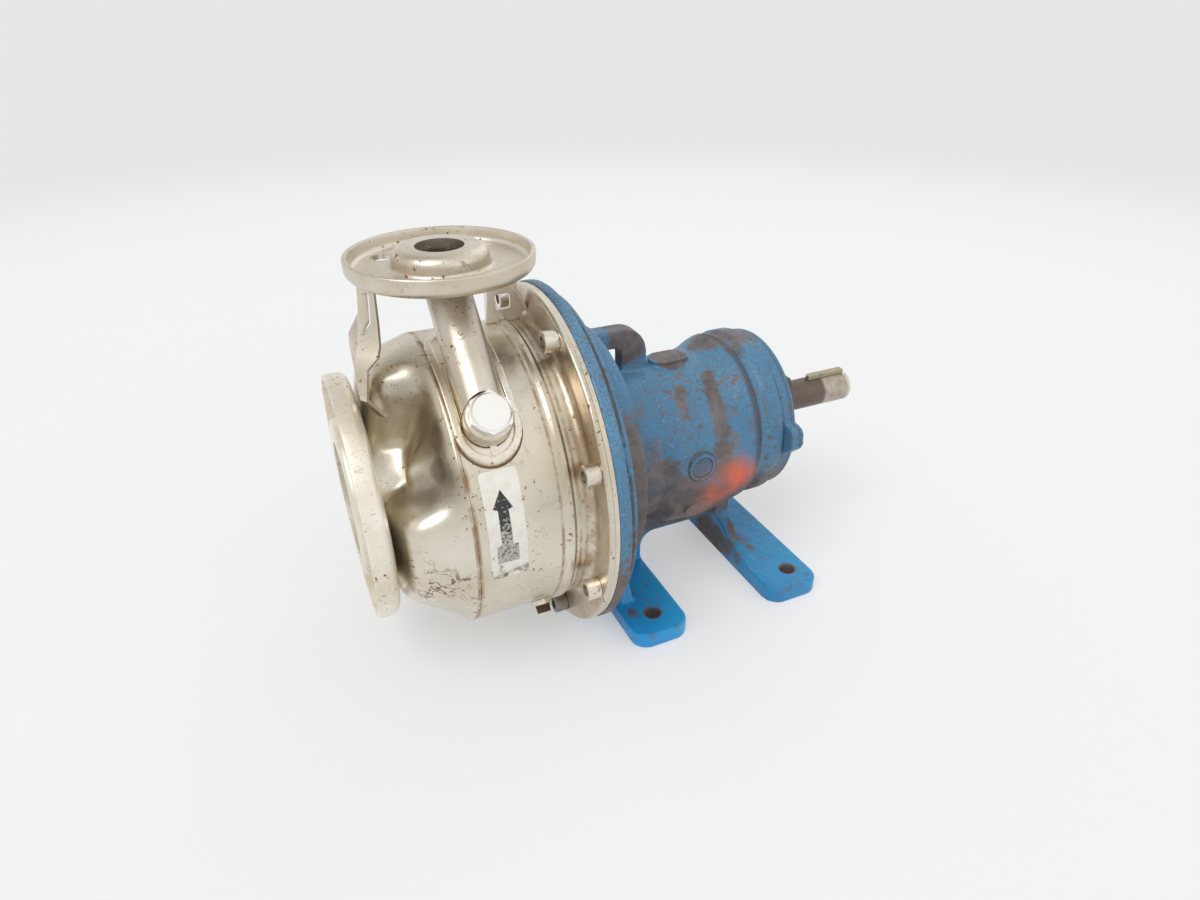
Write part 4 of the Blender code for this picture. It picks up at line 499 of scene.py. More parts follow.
def suction_tube():
    loop = [(VOLUTE_FRONT_X, SUCTION_BORE_RADIUS),
            (VOLUTE_FRONT_X, SUCTION_BORE_RADIUS + SUCTION_TUBE_WALL),
            (SUCTION_TUBE_END_X, SUCTION_BORE_RADIUS + SUCTION_TUBE_WALL),
            (SUCTION_TUBE_END_X, SUCTION_BORE_RADIUS)]
    return turned("suction_tube", loop, BODY_FACETS)


def wear_ring():
    inside = EYE_RADIUS + EYE_RING_WALL + WEAR_RING_GAP
    front = SUCTION_TUBE_END_X - 0.0060
    loop = [(front, inside), (front, SUCTION_BORE_RADIUS - SEAT_GAP),
            (SUCTION_TUBE_END_X + SEAT_GAP, SUCTION_BORE_RADIUS - SEAT_GAP),
            (SUCTION_TUBE_END_X + SEAT_GAP, SUCTION_BORE_RADIUS + SUCTION_TUBE_WALL),
            (SUCTION_TUBE_END_X + 0.0045, SUCTION_BORE_RADIUS + SUCTION_TUBE_WALL),
            (SUCTION_TUBE_END_X + 0.0045, inside)]
    return turned("front_wear_ring", loop, BODY_FACETS)


def discharge_flange():
    face = -(DISCHARGE_RIM_HEIGHT + DISCHARGE_HUB_RISE)
    loop = dish_loop(face, -DISCHARGE_RIM_HEIGHT, -DISCHARGE_FLOOR, DISCHARGE_FLANGE_RADIUS,
                     DISCHARGE_HUB_FOOT_RADIUS, DISCHARGE_HUB_RADIUS,
                     DISCHARGE_HUB_ROUND, DISCHARGE_BORE_RADIUS)
    made = turned("discharge_flange", loop, FLANGE_FACETS)
    made.location = (DISCHARGE_X, 0, 0)
    made.rotation_euler = (0, pi / 2, 0)
    places = circle_places(FLANGE_HOLES, DISCHARGE_BOLT_CIRCLE, 45.0)
    drill = drill_set("discharge_flange_holes", places, DISCHARGE_HOLE_RADIUS,
                      -DISCHARGE_FLOOR - 0.02, -DISCHARGE_FLOOR + 0.02, SMALL_FACETS)
    drill.location = made.location
    drill.rotation_euler = made.rotation_euler
    return cut(made, drill)


def blend(low, high, share):
    return low + (high - low) * share


def smooth_share(value, low, high):
    share = min(1.0, max(0.0, (value - low) / (high - low)))
    return share * share * (3 - 2 * share)


def signed(angle):
    return (angle + 180) % 360 - 180


def pocket_share(angle):
    """1 in the pocket between the passage's start and its big end, 0 where the passage runs."""
    return smooth_share(angle, 15, 30) * (1 - smooth_share(angle, 64, 82))


def taper_share(angle):
    """1 where the passage is a plain cone underneath, 0 where its shoulder is square."""
    if angle > 0:
        return 0.5 * smooth_share(angle, 140, 180)
    return smooth_share(-angle, 20, 34) * (1 - 0.5 * smooth_share(-angle, 130, 180))


def spline(line, place):
    """Smooth curve through a profile's points."""
    index = min(int(place), len(line) - 2)
    part = place - index
    a, b, c, d = [Vector(line[min(max(index + k, 0), len(line) - 1)]) for k in (-1, 0, 1, 2)]
    bend = 2 * a - 5 * b + 4 * c - d + (3 * (b - c) + d - a) * part
    return b + (c - a + bend * part) * part / 2


def volute_point(angle, share):
    """Outer face of the pressed shell, share 0 at the neck to 1 at the weld seam.

    The profiles give (x, radius) as shares of the way from the neck to the seam and the barrel."""
    angle = signed(angle)
    square = [(0, 0), (0.022, 0.076), (0.041, 0.182), (0.068, 0.333), (0.096, 0.485),
              (0.127, 0.614), (0.180, 0.735), (0.282, 0.818), (0.440, 0.874), (0.638, 0.927),
              (0.810, 0.966), (0.941, 1), (1, 1)]
    cone = [(0, 0), (0.022, 0.100), (0.042, 0.210), (0.066, 0.330), (0.095, 0.455),
            (0.160, 0.545), (0.266, 0.623), (0.400, 0.690), (0.560, 0.765), (0.730, 0.855),
            (0.870, 0.930), (0.941, 1), (1, 1)]
    pocket = [(0, 0), (0.120, 0.004), (0.260, 0.012), (0.400, 0.030), (0.540, 0.075),
              (0.645, 0.160), (0.715, 0.290), (0.757, 0.450), (0.790, 0.620), (0.822, 0.780),
              (0.868, 0.910), (0.941, 1), (1, 1)]
    place = share * (len(square) - 1)
    spots = [spline(line, place) for line in (square, cone, pocket)]
    passage = spots[0].lerp(spots[1], taper_share(angle))
    spot = passage.lerp(spots[2], pocket_share(angle))
    x = blend(VOLUTE_FRONT_X, SEAM_X, spot.x)
    radius = blend(SUCTION_NECK_RADIUS, BARREL_RADIUS, spot.y)
    across = (angle - DOME_ANGLE) / DOME_SPREAD
    out = (radius - SUCTION_NECK_RADIUS - DOME_OFFSET) / DOME_REACH
    dome = exp(-across ** 2 - out ** 2) * smooth_share(spot.y, 0, 0.12)
    return x - DOME_HEIGHT * dome, radius


def volute_casing():
    made = volute_surface("volute_casing", 0, False)
    wall = made.modifiers.new("sheet", "SOLIDIFY")
    wall.thickness = SHEET
    wall.offset = -1
    return made


def tube_frame():
    """Foot of the discharge tube's axis and its direction, a tangent to the barrel."""
    foot = Vector((DISCHARGE_X, 0, 0)) + radial(TUBE_FOOT_ANGLE) * TUBE_AXIS_RADIUS
    along = Vector((0, sin(radians(TUBE_FOOT_ANGLE)), cos(radians(TUBE_FOOT_ANGLE))))
    return foot, along


def tube_rod(name, radius, low, high, facets):
    foot, along = tube_frame()
    made = rod(name, low, high, radius, facets)
    return point_along(made, foot, along)


def boss_rod(name, radius, low, high, facets=SMALL_FACETS):
    made = rod(name, low, high, radius, facets)
    return point_along(made, (DISCHARGE_X, 0, 0), radial(TUBE_FOOT_ANGLE))


def boss_space(name):
    """Cutter for the gauge boss, from inside the barrel to clear of the boss."""
    return boss_rod(name, BOSS_RADIUS + SEAT_GAP, 0.7 * BARREL_RADIUS, 1.4 * BARREL_RADIUS)


def barrel_solid(name, radius):
    return rod(name, SEAM_X - 0.03, RING_FACE_X - 0.005, radius, RIM_FACETS)


def barrel_envelope(name):
    """Solid of the barrel's outer outline with the seating gap, for what is welded on it."""
    skin = BARREL_RADIUS + SEAT_GAP
    crest = skin + 0.7 * BEAD_RADIUS
    front = RING_FACE_X - SEAT_GAP
    loop = [(SEAM_X - 0.02, 0), (SEAM_X - 0.02, skin), (BEAD_X - 1.7 * BEAD_RADIUS, skin),
            (BEAD_X - 0.7 * BEAD_RADIUS, crest), (BEAD_X + 0.7 * BEAD_RADIUS, crest),
            (BEAD_X + 1.7 * BEAD_RADIUS, skin), (front - 0.0065, skin), (front, skin + 0.0060),
            (front, RING_RADIUS + 0.01), (front + 0.01, RING_RADIUS + 0.01), (front + 0.01, 0)]
    return turned(name, loop, RIM_FACETS)


def casing_barrel():
    bead = BEAD_RADIUS
    inside = BARREL_RADIUS - SHEET
    ring_rear = RING_FACE_X + RING_THICKNESS
    loop = rounded([
        (SEAM_X + SEAT_GAP, BARREL_RADIUS),
        (BEAD_X - 1.6 * bead, BARREL_RADIUS),
        (BEAD_X - 0.6 * bead, BARREL_RADIUS + 0.7 * bead),
        (BEAD_X + 0.6 * bead, BARREL_RADIUS + 0.7 * bead),
        (BEAD_X + 1.6 * bead, BARREL_RADIUS),
        (RING_FACE_X, BARREL_RADIUS, 0.0060),
        (RING_FACE_X, RING_RADIUS, 0.0032),
        (ring_rear, RING_RADIUS, 0.0008),
        (ring_rear, inside, 0.0090),
        (SEAM_X + SEAT_GAP, inside),
    ])
    made = turned("casing_barrel", loop, RIM_FACETS)
    drain = rod("drain_hole", BARREL_RADIUS - 0.02, BARREL_RADIUS + 0.02,
                DRAIN_THREAD_RADIUS + SEAT_GAP, 12)
    point_along(drain, (DRAIN_X, 0, 0), radial(DRAIN_ANGLE))
    return cut(
        made,
        tube_rod("tube_slot", TUBE_RADIUS - TUBE_WALL, -0.010, 0.060, 20),
        drill_set("ring_holes", SCREW_PLACES, SCREW_SHANK_RADIUS + SEAT_GAP, RING_FACE_X - 0.01,
                  RING_FACE_X + 0.02),
        drain)


def discharge_tube():
    foot, along = tube_frame()
    top = DISCHARGE_FLOOR - SEAT_GAP
    length = (top - foot.z) / along.z + 2 * TUBE_RADIUS
    inside = TUBE_RADIUS - TUBE_WALL
    loop = [(-0.001, inside), (-0.001, TUBE_RADIUS), (length, TUBE_RADIUS), (length, inside)]
    made = turned("discharge_tube", loop, SMALL_FACETS, pi / SMALL_FACETS)
    point_along(made, foot, along)
    above = rod("tube_trim", top, top + 0.06, 0.06)
    point_along(above, (DISCHARGE_X, 0, 0), (0, 0, 1))
    return cut(made, above, barrel_solid("tube_barrel", BARREL_RADIUS + SEAT_GAP),
               boss_space("tube_boss"))


def plate(low_u, high_u, low_v, high_v, fillet):
    """Outline of a rectangle with four equal rounds."""
    return rounded([(low_u, low_v, fillet), (high_u, low_v, fillet),
                    (high_u, high_v, fillet), (low_u, high_v, fillet)])


def obround(name, half_length, half_width):
    """Cutter with round ends, its long side round the barrel, reaching outwards from the axis."""
    middle = (SADDLE_LOW_ANGLE + SADDLE_TOP_ANGLE) / 2
    outline = plate(-half_width, half_width, -half_length, half_length, half_width * 0.99)
    made = prism(name, outline, 0.5 * BARREL_RADIUS, 1.3 * BARREL_RADIUS, "XY")
    made.location = (DISCHARGE_X, 0, 0)
    made.rotation_euler = (radians(90 - middle), 0, 0)
    return made


def discharge_saddle():
    half_width = SADDLE_WIDTH / 2
    half_turn = radians((SADDLE_TOP_ANGLE - SADDLE_LOW_ANGLE) / 2)
    half_length = (BARREL_RADIUS + SADDLE_THICKNESS) * sin(half_turn)
    inner = BARREL_RADIUS + SEAT_GAP
    outer = BARREL_RADIUS + SADDLE_THICKNESS
    low = DISCHARGE_X - SADDLE_WIDTH
    high = DISCHARGE_X + SADDLE_WIDTH
    loop = [(low, inner), (low, outer), (high, outer), (high, inner)]
    made = turned("discharge_saddle", loop, RIM_FACETS)
    keep_inside(made, obround("saddle_outline", half_length, half_width))
    pocket = obround("saddle_pocket", half_length - SADDLE_LIP, half_width - SADDLE_LIP)
    cut(pocket, barrel_solid("saddle_floor", inner + SADDLE_FLOOR))
    return cut(made, pocket, tube_rod("saddle_tube", TUBE_RADIUS + SEAT_GAP, 0, 0.8 * BARREL_RADIUS, 24),
               boss_space("saddle_boss"))


def gauge_tap():
    loop = [(BARREL_RADIUS - 0.01, BOSS_THREAD_RADIUS), (BARREL_RADIUS - 0.01, BOSS_RADIUS),
            (BOSS_TOP_RADIUS, BOSS_RADIUS), (BOSS_TOP_RADIUS, BOSS_THREAD_RADIUS)]
    boss = turned("gauge_boss", rounded([loop[0], loop[1], (*loop[2], 0.0025), loop[3]]),
                  SMALL_FACETS)
    point_along(boss, (DISCHARGE_X, 0, 0), radial(TUBE_FOOT_ANGLE))
    cut(boss, barrel_solid("boss_barrel", BARREL_RADIUS + SEAT_GAP))
    seat = BOSS_TOP_RADIUS + SEAT_GAP
    crown = seat + PLUG_HEAD_HEIGHT
    plug = prism("gauge_plug", polygon(6, PLUG_ACROSS_FLATS, radians(20)), seat,
                 crown - 0.0012, "YZ")
    point_along(plug, (DISCHARGE_X, 0, 0), radial(TUBE_FOOT_ANGLE))
    face = PLUG_ACROSS_FLATS / 2
    crown_disc = turned("plug_crown", [(crown - 0.002, 0), (crown - 0.002, face + 0.0006),
                                       (crown - 0.0012, face), (crown, face - 0.0012),
                                       (crown, 0)], SMALL_FACETS)
    point_along(crown_disc, (DISCHARGE_X, 0, 0), radial(TUBE_FOOT_ANGLE))
    shank = boss_rod("plug_shank", BOSS_THREAD_RADIUS - SEAT_GAP, seat - 0.0125, seat + 0.002, 20)
    return boss, fuse(plug, crown_disc, shank)


def drain_tap():
    low = BARREL_RADIUS - 0.004
    top = BARREL_RADIUS + DRAIN_BOSS_HEIGHT
    loop = [(low, DRAIN_THREAD_RADIUS + SEAT_GAP), (low, DRAIN_BOSS_RADIUS),
            (top, DRAIN_BOSS_RADIUS), (top, DRAIN_THREAD_RADIUS + SEAT_GAP)]
    boss = turned("drain_boss", loop, 16)
    point_along(boss, (DRAIN_X, 0, 0), radial(DRAIN_ANGLE))
    cut(boss, barrel_envelope("drain_barrel"))
    seat = top + SEAT_GAP
    plug = prism("drain_plug", polygon(4, DRAIN_PLUG_SIDE), seat + 0.002,
                 seat + DRAIN_PLUG_HEIGHT, "YZ")
    point_along(plug, (DRAIN_X, 0, 0), radial(DRAIN_ANGLE))
    shank = turned("drain_shank", [(low, 0), (low, DRAIN_THREAD_RADIUS), (seat, DRAIN_THREAD_RADIUS),
                                   (seat, DRAIN_PLUG_SIDE * 0.75), (seat + 0.0022, DRAIN_PLUG_SIDE * 0.75),
                                   (seat + 0.0022, 0)], 16)
    point_along(shank, (DRAIN_X, 0, 0), radial(DRAIN_ANGLE))
    return boss, fuse(plug, shank)


def place_copies(first, name, places):
    """Puts the first object at the first (y, z) place, and a copy of it at each other place."""
    for index, (y, z) in enumerate(places):
        item = first if index == 0 else first.copy()
        item.name = f"{name}_{index + 1}"
        item.location = (0, y, z)
        if index:
            bpy.context.scene.collection.objects.link(item)


def casing_screws():
    """Socket-head screws that hold the casing and the seal plate to the adapter."""
    seat = RING_FACE_X - SEAT_GAP
    front = seat - SCREW_HEAD_LENGTH
    loop = [(front + SCREW_SOCKET_DEPTH, 0), (front + SCREW_SOCKET_DEPTH, SCREW_SOCKET_RADIUS),
            (front, SCREW_SOCKET_RADIUS), (front, SCREW_HEAD_RADIUS - 0.0006),
            (front + 0.0006, SCREW_HEAD_RADIUS), (seat, SCREW_HEAD_RADIUS),
            (seat, SCREW_SHANK_RADIUS), (seat + SCREW_SHANK_LENGTH, SCREW_SHANK_RADIUS),
            (seat + SCREW_SHANK_LENGTH, 0)]
    first = turned("casing_screw", loop, SCREW_FACETS)
    place_copies(first, "casing_screw", SCREW_PLACES)


def front_stay():
    """Folded stay between the front of the discharge flange and the shoulder of the volute."""
    top = DISCHARGE_FLOOR - SEAT_GAP
    x = FRONT_STAY_X
    rows = [
        (top, (x + 0.0010, 0.0140), (x - 0.0020, -0.0040), (x + 0.0070, -0.0120)),
        (top - 0.0270, (x - 0.0020, 0.0140), (x - 0.0040, -0.0040), (x + 0.0060, -0.0130)),
        (top - 0.0400, (x - 0.0110, 0.0115), (x - 0.0080, -0.0065), (x + 0.0040, -0.0205)),
        (top - 0.0470, (x - 0.0125, 0.0045), (x - 0.0110, -0.0125), (x + 0.0010, -0.0245)),
        (top - 0.0550, (x - 0.0130, -0.0060), (x - 0.0140, -0.0170), (x - 0.0070, -0.0235)),
        (top - 0.0755, (x - 0.0130, -0.0150), (x - 0.0142, -0.0230), (x - 0.0110, -0.0275)),
        (top - 0.0900, (x - 0.0030, -0.0160), (x - 0.0040, -0.0240), (x - 0.0000, -0.0280))]
    mesh_data = bmesh.new()
    grid = [[mesh_data.verts.new((u, v, z)) for u, v in places] for z, *places in rows]
    for here, there in zip(grid, grid[1:]):
        for column in range(2):
            mesh_data.faces.new((here[column], there[column], there[column + 1], here[column + 1]))
    made = add_object("front_stay", mesh_data)
    wall = made.modifiers.new("sheet", "SOLIDIFY")
    wall.thickness = STAY_SHEET
    wall.offset = 0
    wall.use_even_offset = True
    trim = rod("front_stay_trim", top, top + 0.02, 0.06)
    point_along(trim, (x, 0, 0), (0, 0, 1))
    slot = prism("front_stay_slot", plate(-0.0105, -0.0070, top - 0.0350, top - 0.0060, 0.0016),
                 x - 0.02, x + 0.02, "YZ")
    return cut(made, trim, slot, volute_surface("front_stay_seat", SEAT_GAP, True))


def rear_stay():
    """Stay between the discharge flange, the top of the barrel and the mounting ring."""
    top = DISCHARGE_FLOOR - SEAT_GAP
    low = BARREL_RADIUS - 0.0100
    y = REAR_STAY_Y
    front = REAR_STAY_X - REAR_STAY_WIDTH / 2
    rear = REAR_STAY_X + REAR_STAY_WIDTH / 2
    shelf = BARREL_RADIUS + 0.0050
    shoulder = top - 0.0290
    wall = RING_FACE_X + 0.0012
    outline = rounded([(front - 0.0030, low), (front + 0.0030, top), (rear, top),
                       (rear, shoulder, 0.004), (wall, shelf, 0.002), (wall, low)])
    blade = prism("rear_stay", outline, y - STAY_SHEET / 2, y + STAY_SHEET / 2, "XZ")
    half = REAR_STAY_WINDOW / 2
    window = prism("rear_stay_window", rounded([
        (REAR_STAY_X - half, top - 0.0290, 0.002), (REAR_STAY_X + half, top - 0.0290, 0.002),
        (REAR_STAY_X + half, top - 0.0410, 0.002), (REAR_STAY_X - half, top - 0.0410, 0.002)]),
        y - 0.01, y + 0.01, "XZ")
    tab = prism("rear_stay_tab", [(rear - 0.0030, shoulder + 0.0015), (rear - 0.0010, shoulder + 0.0030),
                                  (wall - 0.0012, shelf + 0.0042), (wall - 0.0032, shelf + 0.0027)],
                y - REAR_STAY_TAB, y, "XZ")
    wing = prism("rear_stay_wing", [(y, low), (y, top), (y + 0.0160, top), (y + 0.0200, low)],
                 front + 0.0032, front + 0.0032 + STAY_SHEET, "YZ")
    return cut(fuse(blade, wing, tab), window, barrel_envelope("rear_stay_seat"))


def frame_outline(radius, drop, sump, angle):
    """Radius of the casting: a round body with the oil sump hanging below the axis."""
    if sump <= 0:
        return radius
    lean = -drop * sin(radians(angle))
    lower = lean + sqrt(lean * lean - drop * drop + sump * sump)
    power = 24
    biggest = max(radius, lower)
    total = (radius / biggest) ** power + (lower / biggest) ** power
    return biggest * total ** (1 / power)


def frame_stations():
    """(x, body radius, sump drop, sump radius) from the adapter disc to the drum's rear."""
    rim = ADAPTER_RIM
    deep = ADAPTER_DEPTH
    bell = BELL_REAR_X
    neck = NECK_RADIUS
    drum = DRUM_RADIUS
    front = DRUM_FRONT_X
    half = (bell + front) / 2
    return [
        (0.0, ADAPTER_RADIUS, 0, 0),
        (rim - 0.0012, ADAPTER_RADIUS, 0, 0),
        (rim, ADAPTER_RADIUS - 0.0015, 0, 0),
        (rim + 0.0002, ADAPTER_STEP_RADIUS, 0, 0),
        (deep - 0.0015, ADAPTER_STEP_RADIUS, 0, 0),
        (deep, ADAPTER_STEP_RADIUS - 0.0020, 0, 0),
        (deep + 0.0010, BELL_RADIUS + 0.0130, 0, 0),
        (deep + 0.0050, BELL_RADIUS + 0.0040, 0, 0),
        (deep + 0.0110, BELL_RADIUS, 0, 0),
        (bell - 0.0020, BELL_RADIUS - 0.0010, 0, 0),
        (bell, BELL_RADIUS - 0.0035, 0, 0),
        (bell + 0.0030, BELL_RADIUS - 0.0200, 0, 0),
        (bell + 0.0080, neck + 0.0080, 0.0030, neck + 0.0040),
        (bell + 0.0180, neck + 0.0040, 0.0060, neck + 0.0040),
        (half - 0.0250, neck + 0.0010, SUMP_DROP * 0.65, SUMP_RADIUS - 0.0080),
        (half - 0.0120, neck, SUMP_DROP * 0.92, SUMP_RADIUS - 0.0015),
        (half + 0.0240, neck, SUMP_DROP, SUMP_RADIUS),
        (front - 0.0200, neck + 0.0010, SUMP_DROP * 0.85, SUMP_RADIUS - 0.0010),
        (front - 0.0110, neck + 0.0060, SUMP_DROP * 0.75, SUMP_RADIUS - 0.0015),
        (front - 0.0040, drum - 0.0020, SUMP_DROP * 0.62, SUMP_RADIUS - 0.0020),
        (front + 0.0030, drum + 0.0006, SUMP_DROP * 0.40, SUMP_RADIUS - 0.0025),
        (front + 0.0070, drum - 0.0024, SUMP_DROP * 0.20, SUMP_RADIUS - 0.0045),
        (front + 0.0115, drum - 0.0024, 0, drum - 0.0024),
        (front + 0.0145, drum, 0, drum),
        (FRAME_REAR_X, drum, 0, drum),
    ]


def frame_body():
    around = RIM_FACETS
    mesh_data = bmesh.new()
    rings = []
    for x, radius, drop, sump in frame_stations():
        ring = []
        for step in range(around):
            angle = 360 * step / around
            spot = radial(angle) * frame_outline(radius, drop, sump, angle)
            ring.append(mesh_data.verts.new((x, spot.y, spot.z)))
        rings.append(ring)
    for here, there in zip(rings, rings[1:]):
        for step in range(around):
            other = (step + 1) % around
            mesh_data.faces.new((here[step], there[step], there[other], here[other]))
    mesh_data.faces.new(rings[0])
    mesh_data.faces.new(rings[-1])
    return add_object("bearing_frame", mesh_data)


def foot_outline(middle, width):
    end = FOOT_SPAN / 2
    return plate(middle - width / 2, middle + width / 2, -end, end, FOOT_CORNER)


def frame_feet():
    table = -AXIS_HEIGHT
    top = table + FOOT_THICKNESS
    inside = top - 0.0040
    front_edge = FRONT_FOOT_X + FRONT_FOOT_WIDTH / 2
    rear_edge = REAR_FOOT_X - REAR_FOOT_WIDTH / 2
    arch = table + ARCH_HEIGHT
    wall = BELL_REAR_X - 0.0040
    front_foot = prism("front_foot", foot_outline(FRONT_FOOT_X, FRONT_FOOT_WIDTH), table, top, "XY")
    rear_foot = prism("rear_foot", foot_outline(REAR_FOOT_X, REAR_FOOT_WIDTH), table, top, "XY")
    sump_wall = -(SUMP_DROP + SUMP_RADIUS - 0.0070)
    web = prism("web", rounded([
        (wall, inside), (wall, -(BELL_RADIUS - 0.0120)), (wall + 0.0110, sump_wall),
        (DRUM_FRONT_X + 0.0120, sump_wall + 0.0150), (rear_edge + 0.0120, -DRUM_RADIUS + 0.0080),
        (rear_edge + 0.0120, inside), (rear_edge + 0.0005, inside),
        (rear_edge + 0.0005, arch, 0.0140), (front_edge - 0.0005, arch, 0.0140),
        (front_edge - 0.0005, inside)]), -WEB_WIDTH / 2, WEB_WIDTH / 2, "XZ")
    front_rib = prism("front_rib", [
        (-FRONT_RIB_FOOT, inside), (-FRONT_RIB_FOOT * 0.6, 0.0100 - BELL_RADIUS),
        (FRONT_RIB_FOOT * 0.6, 0.0100 - BELL_RADIUS), (FRONT_RIB_FOOT, inside)],
        wall + 0.0004, wall + 0.0004 + RIB_THICKNESS, "YZ")
    waist = table + RIB_WAIST_HEIGHT
    half = blend(RIB_WAIST, RIB_FOOT, 0.5)
    rib = [(RIB_WAIST - 0.0010, 0.0080 - DRUM_RADIUS), (RIB_WAIST, waist + 0.0080),
           (RIB_WAIST + 0.0050, waist), (half, blend(waist, top, 0.60)), (RIB_FOOT, top), (RIB_FOOT, inside)]
    rear_rib = prism("rear_rib", [(-y, z) for y, z in rib] + rib[::-1],
                     rear_edge + 0.0004, rear_edge + 0.0004 + RIB_THICKNESS, "YZ")
    return front_foot, rear_foot, web, front_rib, rear_rib


def lifting_eye():
    inner = EYE_REAR_X - EYE_THICKNESS
    under = EYE_TOP - 0.0160
    start = BELL_REAR_X - 0.0020
    low = NECK_RADIUS - 0.0080
    outline = rounded([
        (start, under), (start, EYE_TOP), (EYE_REAR_X, EYE_TOP, EYE_BEND), (EYE_REAR_X, low),
        (inner, low), (inner, under, EYE_HOLE_RADIUS)])
    return prism("lifting_eye", outline, -EYE_WIDTH / 2, EYE_WIDTH / 2, "XZ")


def top_boss():
    half = TOP_BOSS_LENGTH / 2
    wide = TOP_BOSS_WIDTH / 2
    outline = plate(TOP_BOSS_X - half, TOP_BOSS_X + half, -wide, wide, wide * 0.98)
    return prism("top_boss", outline, NECK_RADIUS - 0.0100, TOP_BOSS_HEIGHT, "XY")


def sump_pad():
    """A low round pad on the near lower side of the sump."""
    made = rod("sump_pad", SUMP_RADIUS - 0.0060, SUMP_RADIUS + SUMP_PAD_RISE, SUMP_PAD_RADIUS)
    return point_along(made, (SUMP_PAD_X, 0, -SUMP_DROP), radial(SUMP_PAD_ANGLE))


def casting_mark():
    """A plain raised ring on the near side of the sump."""
    skin = frame_outline(NECK_RADIUS, SUMP_DROP, SUMP_RADIUS, 0)
    loop = [(skin - 0.0040, MARK_RADIUS - 0.0032), (skin + 0.0012, MARK_RADIUS - 0.0028),
            (skin + 0.0012, MARK_RADIUS - 0.0004), (skin - 0.0040, MARK_RADIUS)]
    made = turned("casting_mark", loop, 20)
    return point_along(made, (MARK_X, 0, -0.0020), (0, -1, 0))


def frame_hollow():
    """Everything the casting is open to inside, turned about the shaft."""
    bore = INBOARD_OUTER_RADIUS + SEAT_GAP
    wall = BELL_RADIUS - BELL_WALL
    inboard_end = INBOARD_X + INBOARD_WIDTH
    seal_end = FRAME_SEAL_X + LIP_SEAL_WIDTH + SEAT_GAP
    shoulder = OUTBOARD_X - SEAT_GAP
    outboard_bore = OUTBOARD_OUTER_RADIUS + SEAT_GAP
    loop = [
        (-0.01, 0), (-0.01, wall), (BELL_REAR_X - 0.0140, wall),
        (BELL_REAR_X - 0.0060, wall - 0.0120), (BELL_REAR_X - 0.0010, LIP_SEAL_RADIUS + 0.0200),
        (FRAME_SEAL_X - SEAT_GAP, LIP_SEAL_RADIUS + 0.0120),
        (FRAME_SEAL_X - SEAT_GAP, LIP_SEAL_RADIUS + SEAT_GAP),
        (seal_end, LIP_SEAL_RADIUS + SEAT_GAP), (seal_end, LIP_SEAL_RADIUS - 0.0020),
        (INBOARD_X - SEAT_GAP, LIP_SEAL_RADIUS - 0.0020), (INBOARD_X - SEAT_GAP, bore),
        (inboard_end + 0.0020, bore), (inboard_end + 0.0020, OIL_SPACE_RADIUS),
        (shoulder - 0.0080, OIL_SPACE_RADIUS), (shoulder - 0.0080, OUTBOARD_OUTER_RADIUS - 0.0050),
        (shoulder, OUTBOARD_OUTER_RADIUS - 0.0050), (shoulder, outboard_bore),
        (FRAME_REAR_X + 0.01, outboard_bore), (FRAME_REAR_X + 0.01, 0)]
    hollow = turned("frame_hollow", loop, BODY_FACETS)
    pocket_start = INBOARD_X + INBOARD_WIDTH + 0.0120
    pocket_end = DRUM_FRONT_X - 0.0140
    reach = SUMP_RADIUS - SUMP_WALL
    pocket = turned("sump_pocket", [(pocket_start, 0), (pocket_start, reach), (pocket_end, reach),
                                    (pocket_end, 0)], SMALL_FACETS, pi / SMALL_FACETS)
    pocket.location = (0, 0, -SUMP_DROP)
    return hollow, pocket


def bearing_frame():
    body = frame_body()
    fuse(body, *frame_feet(), lifting_eye(), top_boss(), casting_mark(), sump_pad())
    seat = RING_FACE_X - SEAT_GAP
    foot_holes = bmesh.new()
    for x in (FRONT_FOOT_X, REAR_FOOT_X + REAR_HOLE_SHIFT):
        for side in (-1, 1):
            outline = [(x + u, side * FOOT_HOLE_SPAN / 2 + v)
                       for u, v in polygon(16, 2 * FOOT_HOLE_RADIUS)]
            prism_into(foot_holes, outline, -AXIS_HEIGHT - 0.01,
                       -AXIS_HEIGHT + FOOT_THICKNESS + 0.01, "XY")
    return cut(
        body, *frame_hollow(),
        drill_set("screw_taps", SCREW_PLACES, SCREW_SHANK_RADIUS + SEAT_GAP, -0.01,
                  seat + SCREW_SHANK_LENGTH + 0.001),
        drill_set("cover_taps", COVER_PLACES, COVER_SCREW_SHANK + SEAT_GAP,
                  FRAME_REAR_X - COVER_SCREW_REACH - 0.001, FRAME_REAR_X + 0.01),
        add_object("foot_holes", foot_holes))


